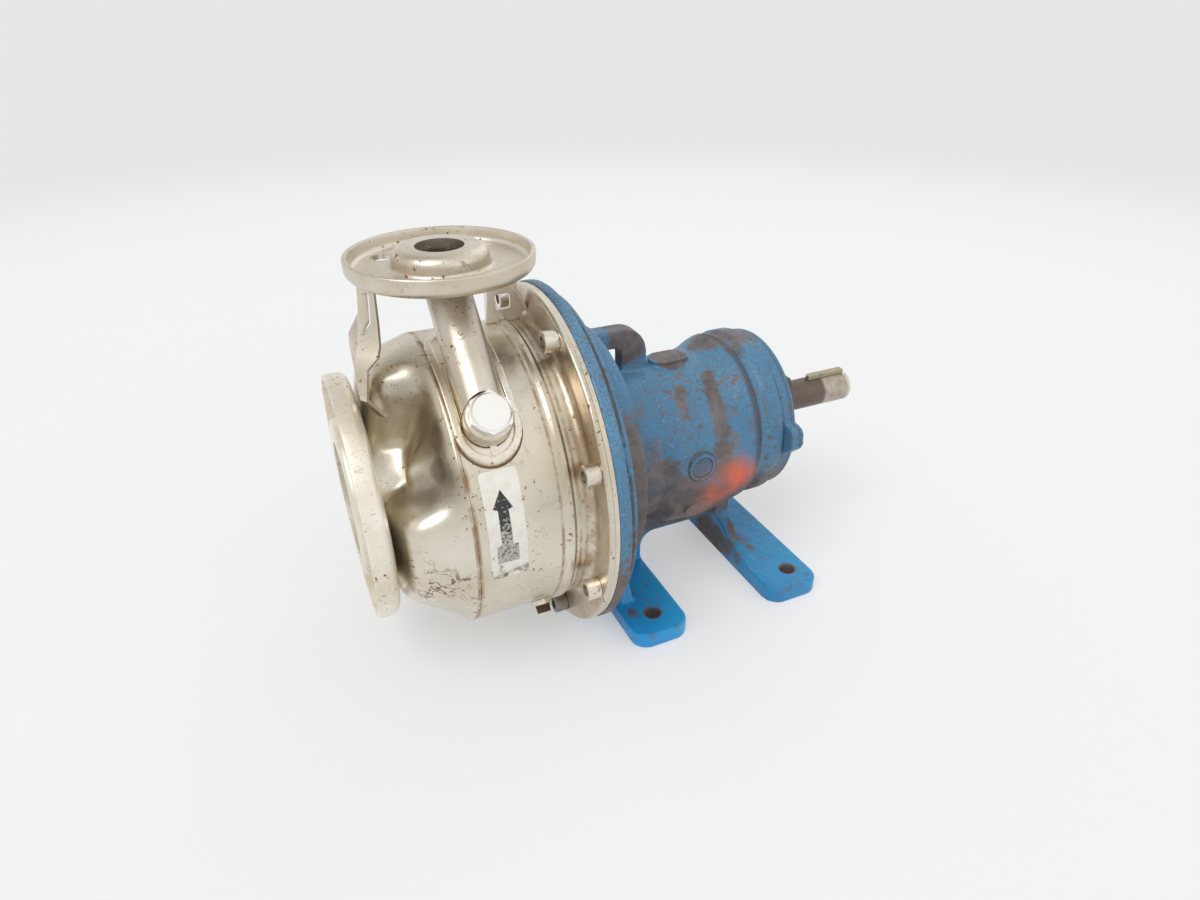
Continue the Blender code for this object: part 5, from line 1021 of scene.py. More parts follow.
def bearing_cover():
    recess = OUTBOARD_OUTER_RADIUS - 0.0060
    seal_front = COVER_SEAL_X - SEAT_GAP
    loop = rounded([
        (COVER_X, recess), (COVER_X, COVER_RADIUS, 0.0008),
        (COVER_X + COVER_FLANGE, COVER_RADIUS, 0.0020), (COVER_X + COVER_FLANGE, COVER_HUB_RADIUS, 0.002),
        (COVER_REAR_X, COVER_HUB_RADIUS, 0.0025), (COVER_REAR_X, LIP_SEAL_RADIUS + SEAT_GAP),
        (seal_front, LIP_SEAL_RADIUS + SEAT_GAP), (seal_front, SEAL_RADIUS + 0.0040),
        (seal_front - 0.0030, SEAL_RADIUS + 0.0040), (seal_front - 0.0030, recess)])
    made = turned("bearing_cover", loop, RIM_FACETS)
    mesh_data = bmesh.new()
    for turn in (0, 180):
        outline = []
        for angle, reach, fillet in ((EAR_ANGLE - 17, COVER_RADIUS - 0.006, 0),
                                     (EAR_ANGLE - 15, COVER_RADIUS - 0.0004, 0.004),
                                     (EAR_ANGLE - 5, EAR_REACH, EAR_TIP_RADIUS),
                                     (EAR_ANGLE + 6, EAR_REACH, EAR_TIP_RADIUS),
                                     (EAR_ANGLE + 9, COVER_RADIUS - 0.0004, 0.003),
                                     (EAR_ANGLE + 12, COVER_RADIUS - 0.006, 0)):
            spot = radial(angle + turn) * reach
            outline.append((spot.y, spot.z, fillet))
        prism_into(mesh_data, rounded(outline), COVER_X + 0.0012, COVER_X + COVER_FLANGE - 0.0006, "YZ")
    ears = add_object("cover_ears", mesh_data)
    return cut(fuse(made, ears), drill_set("cover_holes", COVER_PLACES, COVER_SCREW_SHANK + SEAT_GAP,
                                           COVER_X - 0.01, COVER_REAR_X + 0.01))


def cover_gasket():
    bore = OUTBOARD_OUTER_RADIUS + 0.0010
    loop = [(GASKET_X, bore), (GASKET_X, COVER_RADIUS - 0.0012),
            (GASKET_X + GASKET_THICKNESS, COVER_RADIUS - 0.0012), (GASKET_X + GASKET_THICKNESS, bore)]
    made = turned("cover_gasket", loop, RIM_FACETS)
    return cut(made, drill_set("gasket_holes", COVER_PLACES, COVER_SCREW_SHANK + SEAT_GAP,
                               GASKET_X - 0.01, GASKET_X + 0.01))


def cover_screws():
    """Hexagon screws in the cover's hub."""
    mesh_data = bmesh.new()
    seat = COVER_REAR_X + SEAT_GAP
    head = polygon(6, COVER_SCREW_FLATS)
    shank = polygon(6, COVER_SCREW_SHANK * 2 * cos(pi / 6))
    levels = [(FRAME_REAR_X - COVER_SCREW_REACH, shank), (seat, shank), (seat, head),
              (seat + COVER_SCREW_HEAD, head)]
    rings = [[mesh_data.verts.new((x, u, v)) for u, v in ring] for x, ring in levels]
    for here, there in zip(rings, rings[1:]):
        for side in range(6):
            other = (side + 1) % 6
            mesh_data.faces.new((here[side], there[side], there[other], here[other]))
    mesh_data.faces.new(rings[0])
    mesh_data.faces.new(rings[-1])
    first = add_object("cover_screw", mesh_data)
    place_copies(first, "cover_screw", COVER_PLACES)


def seal_plate():
    """Pressed back plate: dished behind the impeller, with a pocket for the shaft seal."""
    sheet = PLATE_SHEET
    dish = PLATE_DISH_RADIUS
    chamber = SEAL_CHAMBER_RADIUS
    end = SEAL_CHAMBER_END_X
    rear = PLATE_FACE_X + sheet
    loop = rounded([
        (PLATE_FACE_X, RING_RADIUS - 0.0010), (PLATE_FACE_X, dish),
        (PLATE_DISH_X, dish, 0.0080), (PLATE_DISH_X, chamber, 0.0030), (end, chamber),
        (end, SEAL_BORE_RADIUS), (end + sheet, SEAL_BORE_RADIUS),
        (end + sheet, chamber + sheet, 0.0030), (PLATE_DISH_X + sheet, chamber + sheet),
        (PLATE_DISH_X + sheet, dish - sheet, 0.0050), (rear, dish - sheet),
        (rear, RING_RADIUS - 0.0010)])
    made = turned("seal_plate", loop, RIM_FACETS)
    return cut(made, drill_set("plate_holes", SCREW_PLACES, SCREW_SHANK_RADIUS + SEAT_GAP,
                               PLATE_FACE_X - 0.01, rear + 0.01))


def impeller():
    """Closed impeller: back disc with hub and backward-curved vanes, and the front shroud."""
    bore = IMPELLER_SEAT_RADIUS + SEAT_GAP
    back = IMPELLER_BACK_X
    face = back - SHROUD
    front = face - IMPELLER_OUTLET_WIDTH
    tip = IMPELLER_RADIUS
    ring = EYE_RADIUS + EYE_RING_WALL
    hub = turned("impeller", rounded([
        (HUB_FRONT_X, bore), (HUB_FRONT_X, HUB_RADIUS, 0.0050), (face - 0.0060, HUB_RADIUS + 0.0020, 0.004),
        (face, HUB_RADIUS + 0.0110, 0.004), (face, tip), (back, tip), (back, HUB_RADIUS),
        (HUB_REAR_X, HUB_RADIUS), (HUB_REAR_X, bore)]), BODY_FACETS)
    turned("impeller_shroud", rounded([
        (front, tip), (IMPELLER_EYE_X, EYE_RADIUS, 0.0050), (EYE_HUB_X, EYE_RADIUS), (EYE_HUB_X, ring),
        (IMPELLER_EYE_X - SHROUD, ring, 0.0040), (front - SHROUD, tip)]), BODY_FACETS)
    vanes = bmesh.new()
    marks = 6
    for vane in range(VANES):
        spine = []
        for mark in range(marks + 1):
            radius = blend(VANE_ROOT_RADIUS, tip - 0.0005, mark / marks)
            turn = VANE_SWEEP * log(radius / VANE_ROOT_RADIUS) / log(tip / VANE_ROOT_RADIUS)
            spot = radial(360 * vane / VANES + 7 - turn) * radius
            spine.append(Vector((spot.y, spot.z)))
        sides = ([], [])
        for mark, spot in enumerate(spine):
            ahead = spine[min(mark + 1, marks)] - spine[max(mark - 1, 0)]
            across = Vector((-ahead.y, ahead.x)).normalized() * VANE_THICKNESS / 2
            sides[0].append(tuple(spot + across))
            sides[1].append(tuple(spot - across))
        prism_into(vanes, sides[0] + sides[1][::-1], EYE_HUB_X, back, "YZ")
    blades = add_object("vanes", vanes)
    overlap = SHROUD / 2
    gap = SEAT_GAP + 0.0001
    envelope = turned("vane_envelope", [
        (face + overlap, 0.0200), (face + overlap, tip - 0.0004), (front + gap, tip - 0.0004),
        (IMPELLER_EYE_X + gap, EYE_RADIUS - 0.0004), (IMPELLER_EYE_X + gap, 0.0200)], BODY_FACETS)
    keep_inside(blades, envelope)
    small = IMPELLER_KEY_SIDE / 2 + SEAT_GAP
    slot = prism("impeller_slot", [(HUB_FRONT_X - 0.01, -small), (HUB_REAR_X + 0.01, -small),
                                   (HUB_REAR_X + 0.01, small), (HUB_FRONT_X - 0.01, small)],
                 0.0040, IMPELLER_SEAT_RADIUS + IMPELLER_KEY_SIDE / 2 + SEAT_GAP, "XY")
    return fuse(cut(hub, slot), blades)


def impeller_fixings():
    """Key, washer and nut that hold the impeller on the shaft."""
    half = IMPELLER_KEY_SIDE / 2
    start = HUB_FRONT_X + 0.0020
    end = HUB_REAR_X - 0.0080
    prism("impeller_key", [(start, -half), (end, -half), (end, half), (start, half)],
          IMPELLER_SEAT_RADIUS - half, IMPELLER_SEAT_RADIUS + half, "XY")
    bore = SHAFT_THREAD_RADIUS + SEAT_GAP
    turned("impeller_washer", [(WASHER_X, bore), (WASHER_X, WASHER_RADIUS),
                               (WASHER_X + WASHER_THICKNESS, WASHER_RADIUS),
                               (WASHER_X + WASHER_THICKNESS, bore)], SMALL_FACETS)
    nut = prism("impeller_nut", polygon(6, NUT_ACROSS_FLATS), NUT_X, NUT_X + NUT_HEIGHT, "YZ")
    return cut(nut, rod("nut_thread", NUT_X - 0.01, NUT_X + 0.02, bore, BODY_FACETS))


def pump_shaft():
    """One stepped shaft from the impeller nut to the coupling end."""
    shoulder = COVER_REAR_X + 0.0015
    seat_end = HUB_FRONT_X + 0.0010
    loop = [
        (NUT_X - 0.0012, 0), (NUT_X - 0.0012, SHAFT_THREAD_RADIUS - 0.0008),
        (NUT_X - 0.0004, SHAFT_THREAD_RADIUS), (seat_end, SHAFT_THREAD_RADIUS),
        (seat_end, IMPELLER_SEAT_RADIUS), (SLEEVE_FRONT_X, IMPELLER_SEAT_RADIUS),
        (SLEEVE_FRONT_X, SLEEVE_SEAT_RADIUS), (SLEEVE_END_X + SEAT_GAP, SLEEVE_SEAT_RADIUS),
        (SLEEVE_END_X + SEAT_GAP, SEAL_RADIUS),
        (INBOARD_X + INBOARD_WIDTH + SEAT_GAP, SEAL_RADIUS),
        (INBOARD_X + INBOARD_WIDTH + SEAT_GAP, BODY_RADIUS),
        (OUTBOARD_X - SEAT_GAP, BODY_RADIUS), (OUTBOARD_X - SEAT_GAP, SEAL_RADIUS),
        (shoulder, SEAL_RADIUS), (shoulder + 0.0012, COUPLING_RADIUS),
        (SHAFT_END_X - 0.0012, COUPLING_RADIUS), (SHAFT_END_X, COUPLING_RADIUS - 0.0012),
        (SHAFT_END_X, 0)]
    made = turned("pump_shaft", loop, BODY_FACETS)
    keyway = key_prism("keyway", SEAT_GAP, KEY_SIDE / 2 + SEAT_GAP, SHAFT_END_X)
    small = IMPELLER_KEY_SIDE / 2 + SEAT_GAP
    slot = prism("impeller_keyway", [(HUB_FRONT_X - 0.02, -small), (HUB_REAR_X - 0.0060, -small),
                                     (HUB_REAR_X - 0.0060, small), (HUB_FRONT_X - 0.02, small)],
                 IMPELLER_SEAT_RADIUS - IMPELLER_KEY_SIDE / 2 - SEAT_GAP, 0.03, "XY")
    return cut(made, keyway, slot)


def key_prism(name, clearance, half, end):
    """The coupling key, or with a clearance the keyway that it lies in."""
    start = SHAFT_END_X - KEY_END_SET_BACK - KEY_LENGTH
    bottom = COUPLING_RADIUS - KEY_DEPTH - clearance
    outline = rounded([(start - clearance, -half, half * 0.98), (end, -half), (end, half),
                       (start - clearance, half, half * 0.98)])
    return prism(name, outline, bottom, bottom + KEY_SIDE + 4 * clearance, "XY")


def coupling_key():
    return key_prism("coupling_key", 0, KEY_SIDE / 2, SHAFT_END_X - KEY_END_SET_BACK)


# Rotation label, on the near side of the barrel, angles in degrees
LABEL_X = -0.0733
LABEL_WIDTH = 0.0270
LABEL_LOW = -10.7
LABEL_TOP = 30.3
LABEL_CORNER = 0.0030


# Materials: colour, wear and grain are made from the pump's own coordinates
class Nodes:
    """Short hand for building the nodes of one material, or of the world."""

    def __init__(self, owner, shader="Principled BSDF", space="Object"):
        self.material = bpy.data.materials.new(owner) if isinstance(owner, str) else owner
        self.material.use_nodes = True
        self.tree = self.material.node_tree
        self.shader = self.tree.nodes[shader]
        self.place = self.add("ShaderNodeTexCoord").outputs[space]

    def add(self, kind, **values):
        node = self.tree.nodes.new(kind)
        for key, value in values.items():
            setattr(node, key, value)
        return node

    def put(self, socket, value):
        if isinstance(value, bpy.types.NodeSocket):
            self.tree.links.new(value, socket)
        elif isinstance(value, tuple) and len(value) == 3 and socket.type == "RGBA":
            socket.default_value = (*value, 1.0)
        else:
            socket.default_value = value

    def noise(self, scale, detail=4.0, rough=0.55, stretch=(1, 1, 1), shift=(0, 0, 0), distort=0.0):
        turn = self.add("ShaderNodeMapping")
        self.put(turn.inputs["Vector"], self.place)
        turn.inputs["Scale"].default_value = stretch
        turn.inputs["Location"].default_value = shift
        node = self.add("ShaderNodeTexNoise")
        self.put(node.inputs["Vector"], turn.outputs["Vector"])
        node.inputs["Scale"].default_value = scale
        node.inputs["Detail"].default_value = detail
        node.inputs["Roughness"].default_value = rough
        node.inputs["Distortion"].default_value = distort
        return node.outputs["Fac"]

    def step(self, value, low, high):
        """0 below low, 1 above high, smooth between."""
        node = self.add("ShaderNodeMapRange", interpolation_type="SMOOTHSTEP")
        self.put(node.inputs["Value"], value)
        node.inputs["From Min"].default_value = low
        node.inputs["From Max"].default_value = high
        return node.outputs["Result"]

    def span(self, value, low, high):
        node = self.add("ShaderNodeMapRange")
        self.put(node.inputs["Value"], value)
        node.inputs["To Min"].default_value = low
        node.inputs["To Max"].default_value = high
        return node.outputs["Result"]

    def math(self, kind, first, second=0.0):
        node = self.add("ShaderNodeMath", operation=kind, use_clamp=False)
        self.put(node.inputs[0], first)
        self.put(node.inputs[1], second)
        return node.outputs[0]

    def mix(self, share, first, second):
        node = self.add("ShaderNodeMix", data_type="RGBA")
        self.put(node.inputs[0], share)
        self.put(node.inputs[6], first)
        self.put(node.inputs[7], second)
        return node.outputs[2]

    def spot(self, place, reach, soft):
        """1 within reach of a place given from the shaft's axis, fading to 0."""
        node = self.add("ShaderNodeVectorMath", operation="DISTANCE")
        self.put(node.inputs[0], self.place)
        node.inputs[1].default_value = world(place)
        away = self.step(node.outputs["Value"], reach, reach + soft)
        return self.minus(1.0, away)

    def squiggle(self, scale, width, shift=(0, 0, 0), stretch=(1, 1, 1)):
        """Thin wandering lines, as scratches leave."""
        value = self.noise(scale, 3, 0.55, stretch=stretch, shift=shift, distort=0.8)
        away = self.math("ABSOLUTE", self.minus(value, 0.5))
        return self.minus(1.0, self.step(away, width * 0.5, width))

    def times(self, *values):
        total = values[0]
        for value in values[1:]:
            total = self.math("MULTIPLY", total, value)
        return total

    def plus(self, first, second):
        return self.math("ADD", first, second)

    def minus(self, first, second):
        return self.math("SUBTRACT", first, second)

    def any(self, *shares):
        total = shares[0]
        for share in shares[1:]:
            total = self.math("MAXIMUM", total, share)
        return total

    def places(self, places):
        """Largest share of a list of (place, reach, soft, gain)."""
        return self.any(*[self.times(self.spot(place, reach, soft), gain)
                          for place, reach, soft, gain in places])

    def line(self, index, middle, half, soft):
        """1 in a band across one axis, given from the shaft's axis."""
        here = self.minus(self.axis(index), world((middle,) * 3)[index])
        return self.minus(1.0, self.step(self.math("ABSOLUTE", here), half, half + soft))

    def lower(self, start, full):
        """0 down to one height and 1 below the other, both given from the shaft's axis."""
        down = self.minus(0.0, self.axis(2))
        return self.step(down, -world((0, 0, start))[2], -world((0, 0, full))[2])

    def circle(self, x, z, radius, half):
        """1 on a circle that is seen from the near side."""
        flat = self.add("ShaderNodeVectorMath", operation="MULTIPLY")
        self.put(flat.inputs[0], self.place)
        flat.inputs[1].default_value = (1, 0, 1)
        node = self.add("ShaderNodeVectorMath", operation="DISTANCE")
        self.put(node.inputs[0], flat.outputs[0])
        middle = world((x, 0, z))
        node.inputs[1].default_value = (middle[0], 0, middle[2])
        away = self.math("ABSOLUTE", self.minus(node.outputs["Value"], radius))
        return self.minus(1.0, self.step(away, half * 0.4, half))

    def axis(self, index):
        node = self.add("ShaderNodeSeparateXYZ")
        self.put(node.inputs[0], self.place)
        return node.outputs[index]

    def bump(self, *layers):
        """(height, distance) layers, the first nearest the metal."""
        normal = None
        for height, distance in layers:
            node = self.add("ShaderNodeBump")
            node.inputs["Distance"].default_value = distance
            node.inputs["Strength"].default_value = 1.0
            self.put(node.inputs["Height"], height)
            if normal is not None:
                self.put(node.inputs["Normal"], normal)
            normal = node.outputs["Normal"]
        self.put(self.shader.inputs["Normal"], normal)

    def seen(self):
        """1 for what the camera sees, straight, mirrored or through glass."""
        path = self.add("ShaderNodeLightPath").outputs
        return self.any(path["Is Camera Ray"], path["Is Glossy Ray"], path["Is Transmission Ray"])

    def blend(self, share, first, second, output):
        """Sends two shaders, mixed by a share, to the named output."""
        both = self.add("ShaderNodeMixShader")
        for socket, value in zip(both.inputs, (share, first, second)):
            self.put(socket, value)
        self.put(self.tree.nodes[output].inputs["Surface"], both.outputs[0])

    def done(self, colour, rough, metallic):
        self.put(self.shader.inputs["Base Color"], colour)
        self.put(self.shader.inputs["Roughness"], rough)
        self.put(self.shader.inputs["Metallic"], metallic)
        return self.material


BACKGROUND = (0.80, 0.80, 0.79)


def world(place):
    return tuple(Vector(place) + datum.location)


def stainless(name, base, stain=0.5, rough=0.30, rust=0.5, lines=(), grime_and_shade_spots=(), scuffs=(), rusty_bore=(), metal=1.0):
    """Pressed sheet, dulled, with warm stains, rust freckles, brown lines at seams and in creases as painted crease
    shade, dark spots of grime and painted shade, and fine scratches.
    """
    n = Nodes(name)
    cloud = n.noise(9, 5, 0.6)
    patch = n.noise(26, 6, 0.65, shift=(3, 1, 2), distort=0.6)
    fine = n.noise(160, 4, 0.6)
    grit = n.noise(420, 4, 0.6, shift=(2, 2, 7))
    colour = n.mix(n.step(cloud, 0.35, 0.70), base, tuple(c * f for c, f in zip(base, (0.80, 0.75, 0.66))))
    colour = n.mix(n.times(n.step(patch, 0.54, 0.76), stain), colour, (0.46, 0.34, 0.20))
    dirt = n.times(n.step(n.plus(patch, n.times(grit, 0.35)), 0.44, 0.80), 0.95)
    # Darker grey-brown spots: grime, and painted shade in hollows and under overhangs
    if grime_and_shade_spots:
        grime_and_shade = n.places(grime_and_shade_spots)
        grime_and_shade = n.times(grime_and_shade, n.span(dirt, 0.72, 1.0))
        colour = n.mix(grime_and_shade, colour, (0.165, 0.145, 0.122))
    freckle = n.step(n.noise(260, 3, 0.5, shift=(7, 0, 0)), 0.635, 0.71)
    area = n.step(n.noise(14, 4, 0.6, shift=(0, 9, 0)), 0.47, 0.60)
    freckle = n.math("MINIMUM", n.times(freckle, area, rust * 1.9), 1.0)
    speck = n.times(n.step(n.noise(600, 2, 0.5, shift=(1, 4, 4)), 0.66, 0.70),
                    n.step(n.noise(22, 3, 0.6, shift=(8, 1, 3)), 0.48, 0.60))
    # Brown bands across x: rust along a weld seam, and painted crease shade where a band lies in a groove or fillet
    for middle, half, share in lines:
        band = n.line(0, middle, half, half * 1.2)
        worn = n.step(n.noise(55, 5, 0.7, shift=(4, 2, 9)), 0.34, 0.60)
        colour = n.mix(n.times(band, worn, share), colour, (0.30, 0.150, 0.055))
    colour = n.mix(freckle, colour, (0.25, 0.115, 0.045))
    colour = n.mix(n.times(speck, 0.75), colour, (0.12, 0.060, 0.030))
    scratch = n.squiggle(34, 0.010, stretch=(1, 3.2, 0.7))
    scratch = n.times(scratch, n.step(n.noise(7, 2, 0.5, shift=(4, 4, 1)), 0.50, 0.58), 0.28)
    colour = n.mix(scratch, colour, (0.22, 0.15, 0.09))
    if scuffs:
        ragged = n.step(n.noise(80, 4, 0.6, shift=(6, 6, 2)), 0.44, 0.52)
        marks = n.times(n.any(n.squiggle(48, 0.026, shift=(3, 3, 3)), n.squiggle(85, 0.026, shift=(1, 8, 3))),
                        n.places(scuffs), ragged)
        colour = n.mix(n.times(marks, 0.88), colour, (0.140, 0.072, 0.040))
    for place, reach in rusty_bore:
        inside = n.times(n.spot(place, reach, 0.0015), n.span(patch, 0.55, 1.0))
        colour = n.mix(inside, colour, (0.150, 0.065, 0.030))
    roughness = n.span(n.plus(n.times(cloud, 0.6), n.times(fine, 0.4)),
                       rough - 0.10, rough + 0.16)
    roughness = n.plus(roughness, n.times(freckle, 0.3))
    if grime_and_shade_spots:
        roughness = n.plus(roughness, n.times(grime_and_shade, 0.12))
    n.bump((n.noise(7, 2, 0.4, shift=(1, 1, 1)), 0.0016), (n.noise(38, 3, 0.5), 0.00020), (fine, 0.00003),
           (freckle, 0.00012))
    metallic = n.minus(metal, n.times(freckle, 0.8 * metal))
    return n.done(colour, roughness, metallic)


def painted_casting(name):
    """Blue paint on rough cast iron, speckled and rusted brown, with an orange scorch; painted light lightens the
    front foot and painted shade darkens the groove at the drum's step.
    """
    n = Nodes(name)
    grain = n.noise(330, 4, 0.6)
    lumps = n.noise(60, 5, 0.6)
    patch = n.noise(17, 7, 0.68, shift=(2, 5, 1), distort=0.4)
    pits = n.noise(150, 5, 0.7, shift=(5, 2, 2))
    sand = n.noise(620, 4, 0.7, shift=(9, 3, 1))
    tone = n.step(n.noise(8, 3, 0.5), 0.35, 0.70)
    down = n.minus(0.0, n.axis(2))
    foot = n.step(down, -0.052, -0.030)
    body = n.minus(1.0, foot)
    under = n.times(n.step(down, -0.148, -0.104), body)
    blue = n.mix(tone, (0.050, 0.225, 0.410), (0.092, 0.295, 0.490))
    clean_foot_blue_and_painted_light = n.mix(tone, (0.004, 0.225, 0.510), (0.018, 0.310, 0.610))
    # Painted light: the front foot, which lies in the casing's shadow, gets a lighter blue than the rear foot
    front = n.minus(1.0, n.step(n.axis(0), world((0.110, 0, 0))[0], world((0.135, 0, 0))[0]))
    clean_foot_blue_and_painted_light = n.mix(front, clean_foot_blue_and_painted_light, n.mix(tone, (0.006, 0.320, 0.740), (0.022, 0.410, 0.820)))
    blue = n.mix(foot, blue, clean_foot_blue_and_painted_light)
    veil = n.any(n.times(n.places(BROWN_PLACES), body), n.places(FOOT_PLACES),
                 n.times(under, 0.86))
    bare = n.plus(n.times(n.minus(patch, 0.5), 0.55),
                  n.times(n.minus(pits, 0.5), 0.95))
    bare = n.plus(bare, n.times(veil, 0.10))
    bare = n.plus(bare, n.times(under, 0.05))
    rusted = n.times(n.step(bare, 0.085, 0.16), n.span(foot, 0.80, 0.55))
    uneven = n.plus(n.times(n.minus(pits, 0.5), 0.70),
                    n.times(n.minus(patch, 0.5), 0.45))
    veil = n.times(n.step(n.plus(veil, uneven), 0.16, 0.94), n.span(n.step(sand, 0.36, 0.58), 0.78, 0.97))
    rust = n.mix(n.step(lumps, 0.35, 0.65), (0.105, 0.078, 0.068), (0.195, 0.145, 0.122))
    rust = n.mix(n.times(foot, 0.75), rust, (0.140, 0.085, 0.055))
    speckle = n.times(n.step(sand, 0.45, 0.58), n.span(n.step(patch, 0.30, 0.62), 0.50, 0.95),
                      n.span(foot, 0.85, 0.22))
    colour = n.mix(speckle, blue, (0.130, 0.118, 0.118))
    chalk = n.times(n.step(n.noise(260, 4, 0.6, shift=(4, 4, 4)), 0.60, 0.72), n.span(foot, 0.34, 0.10))
    colour = n.mix(chalk, colour, (0.34, 0.42, 0.47))
    colour = n.mix(veil, colour, rust)
    colour = n.mix(rusted, colour, rust)
    # A dark line behind the adapter's rim, a fainter dark line on the cover, and painted shade: a dark line in the
    # groove at the drum's step
    rim = n.times(n.line(0, 0.0132, 0.0009, 0.0012), n.step(n.noise(60, 4, 0.6, shift=(3, 9, 9)), 0.36, 0.50), body)
    step = n.times(n.any(n.line(0, DRUM_FRONT_X + 0.0035, 0.0014, 0.0034),
                         n.times(n.line(0, 0.1955, 0.0007, 0.0010), 0.6)), body)
    colour = n.mix(n.any(n.times(rim, 0.8), n.times(step, 0.72)), colour, (0.060, 0.046, 0.040))
    marks = n.any(n.circle(MARK_X, -0.0020, MARK_RADIUS + 0.0004, 0.0012),
                  n.circle(MARK_X, -0.0020, MARK_RADIUS - 0.0034, 0.0011),
                  n.times(n.circle(MARK_X, -0.0020, 0.0, MARK_RADIUS), 0.55))
    near = n.step(n.minus(0.0, n.axis(1)), 0.030, 0.034)
    colour = n.mix(n.times(marks, near, body, 0.75), colour, (0.060, 0.048, 0.044))
    pit = n.times(n.spot((0.164, -0.0217, 0.0600), 0.003, 0.010), n.step(pits, 0.40, 0.55))
    colour = n.mix(pit, colour, (0.030, 0.022, 0.018))
    halo = n.times(n.spot((0.1330, -0.0700, -0.0270), 0.010, 0.034), n.span(lumps, 0.45, 1.0))
    colour = n.mix(n.times(halo, 0.85), colour, (0.270, 0.125, 0.090))
    glow = n.any(n.spot((0.1420, -0.0710, -0.0220), 0.003, 0.024),
                 n.times(n.spot((0.1260, -0.0700, -0.0340), 0.002, 0.022), 0.6))
    glow = n.times(glow, n.step(n.plus(lumps, n.times(grain, 0.5)), 0.42, 0.86))
    colour = n.mix(glow, colour, (0.80, 0.140, 0.060))
    pad = n.spot((SUMP_PAD_X, -0.0670, -0.0450), 0.009, 0.004)
    colour = n.mix(n.times(pad, n.span(lumps, 0.25, 0.75)), colour, (0.30, 0.170, 0.120))
    rough = n.span(grain, 0.26, 0.46)
    rough = n.plus(rough, n.times(n.any(rusted, speckle, veil), 0.22))
    n.bump((n.noise(24, 3, 0.5, shift=(5, 5, 5)), 0.0014), (lumps, 0.0012), (n.noise(190, 3, 0.5), 0.00050),
           (grain, 0.00026))
    return n.done(colour, rough, 0.0)


# (place from the shaft's axis, full reach, soft edge, strength) of the browned parts of the feet and of the body
FOOT_PLACES = [
    ((0.1676, 0.0060, -0.1330), 0.012, 0.014, 0.95), ((0.1676, -0.0160, -0.1330), 0.010, 0.010, 0.95),
    ((0.1690, -0.0340, -0.1300), 0.006, 0.010, 0.85), ((0.1690, -0.0520, -0.1320), 0.003, 0.010, 0.60),
    ((0.1840, -0.0300, -0.1180), 0.010, 0.012, 0.85), ((0.1860, -0.0440, -0.1300), 0.003, 0.010, 0.60),
    ((0.0590, -0.0857, -0.1300), 0.0066, 0.0044, 0.95), ((0.2010, -0.0853, -0.1300), 0.0066, 0.0044, 0.95),
    ((0.0588, -0.0853, -0.1400), 0.0084, 0.0016, 1.00), ((0.2010, -0.0853, -0.1400), 0.0084, 0.0016, 1.00),
    ((0.1970, -0.1100, -0.1320), 0.001, 0.010, 0.50), ((0.0460, -0.1120, -0.1320), 0.001, 0.010, 0.60),
    ((0.0700, -0.1120, -0.1300), 0.001, 0.009, 0.55), ((0.0480, -0.0500, -0.1300), 0.004, 0.014, 0.80),
    ((0.2120, -0.1000, -0.1300), 0.001, 0.007, 0.50), ((0.0430, -0.0800, -0.1310), 0.002, 0.010, 0.70)]
BROWN_PLACES = [
    ((0.1120, 0.0000, 0.0665), 0.014, 0.005, 0.95), ((0.0700, 0.0000, 0.0880), 0.012, 0.018, 0.95),
    ((0.1580, 0.0100, 0.0720), 0.012, 0.016, 0.92), ((0.1780, 0.0000, 0.0750), 0.010, 0.018, 0.80),
    ((0.1480, 0.0100, 0.0660), 0.006, 0.012, 0.85), ((0.1660, -0.0200, 0.0700), 0.003, 0.012, 0.60),
    ((0.0360, -0.0905, 0.0500), 0.008, 0.026, 0.80), ((0.0305, -0.0995, 0.0300), 0.012, 0.026, 0.90),
    ((0.0400, -0.1000, 0.0000), 0.020, 0.026, 0.95), ((0.0500, -0.0850, -0.0400), 0.024, 0.030, 0.95),
    ((0.0629, -0.0449, 0.0470), 0.002, 0.014, 0.55),
    ((0.1089, -0.0236, 0.0585), 0.0020, 0.006, 0.70), ((0.1039, -0.0364, 0.0523), 0.0024, 0.006, 0.75),
    ((0.1010, -0.0420, 0.0480), 0.0024, 0.006, 0.75), ((0.1001, -0.0472, 0.0444), 0.0024, 0.006, 0.75),
    ((0.0988, -0.0533, 0.0385), 0.0020, 0.007, 0.65),
    ((0.1339, -0.0305, 0.0565), 0.0030, 0.007, 0.75), ((0.1320, -0.0375, 0.0525), 0.0036, 0.007, 0.85),
    ((0.1304, -0.0436, 0.0482), 0.0040, 0.007, 0.90), ((0.1300, -0.0500, 0.0430), 0.0042, 0.007, 0.90),
    ((0.1298, -0.0553, 0.0372), 0.0044, 0.007, 0.90), ((0.1294, -0.0605, 0.0305), 0.0044, 0.008, 0.90),
    ((0.1289, -0.0649, 0.0234), 0.0046, 0.009, 0.90), ((0.1282, -0.0713, 0.0079), 0.0060, 0.010, 0.90),
    ((0.1300, -0.0730, -0.0080), 0.0060, 0.012, 0.85), ((0.1367, -0.0690, 0.0142), 0.0030, 0.012, 0.60),
    ((0.0651, -0.0633, 0.0175), 0.004, 0.016, 0.60), ((0.0715, -0.0668, -0.0088), 0.012, 0.018, 0.85),
    ((0.0893, -0.0705, -0.0313), 0.016, 0.020, 0.95), ((0.1096, -0.0702, -0.0434), 0.016, 0.020, 0.95),
    ((0.1414, -0.0588, 0.0344), 0.002, 0.012, 0.50), ((0.1572, -0.0691, 0.0246), 0.002, 0.010, 0.65),
    ((0.1720, -0.0200, -0.0900), 0.014, 0.030, 0.95), ((0.1820, -0.0260, -0.1080), 0.018, 0.016, 0.95),
    ((0.0400, -0.0500, -0.1080), 0.022, 0.030, 0.95), ((0.0620, -0.0300, -0.1000), 0.016, 0.026, 0.95),
    ((0.1920, -0.0643, 0.0280), 0.003, 0.016, 0.45), ((0.0320, -0.1250, -0.0300), 0.010, 0.050, 0.60)]


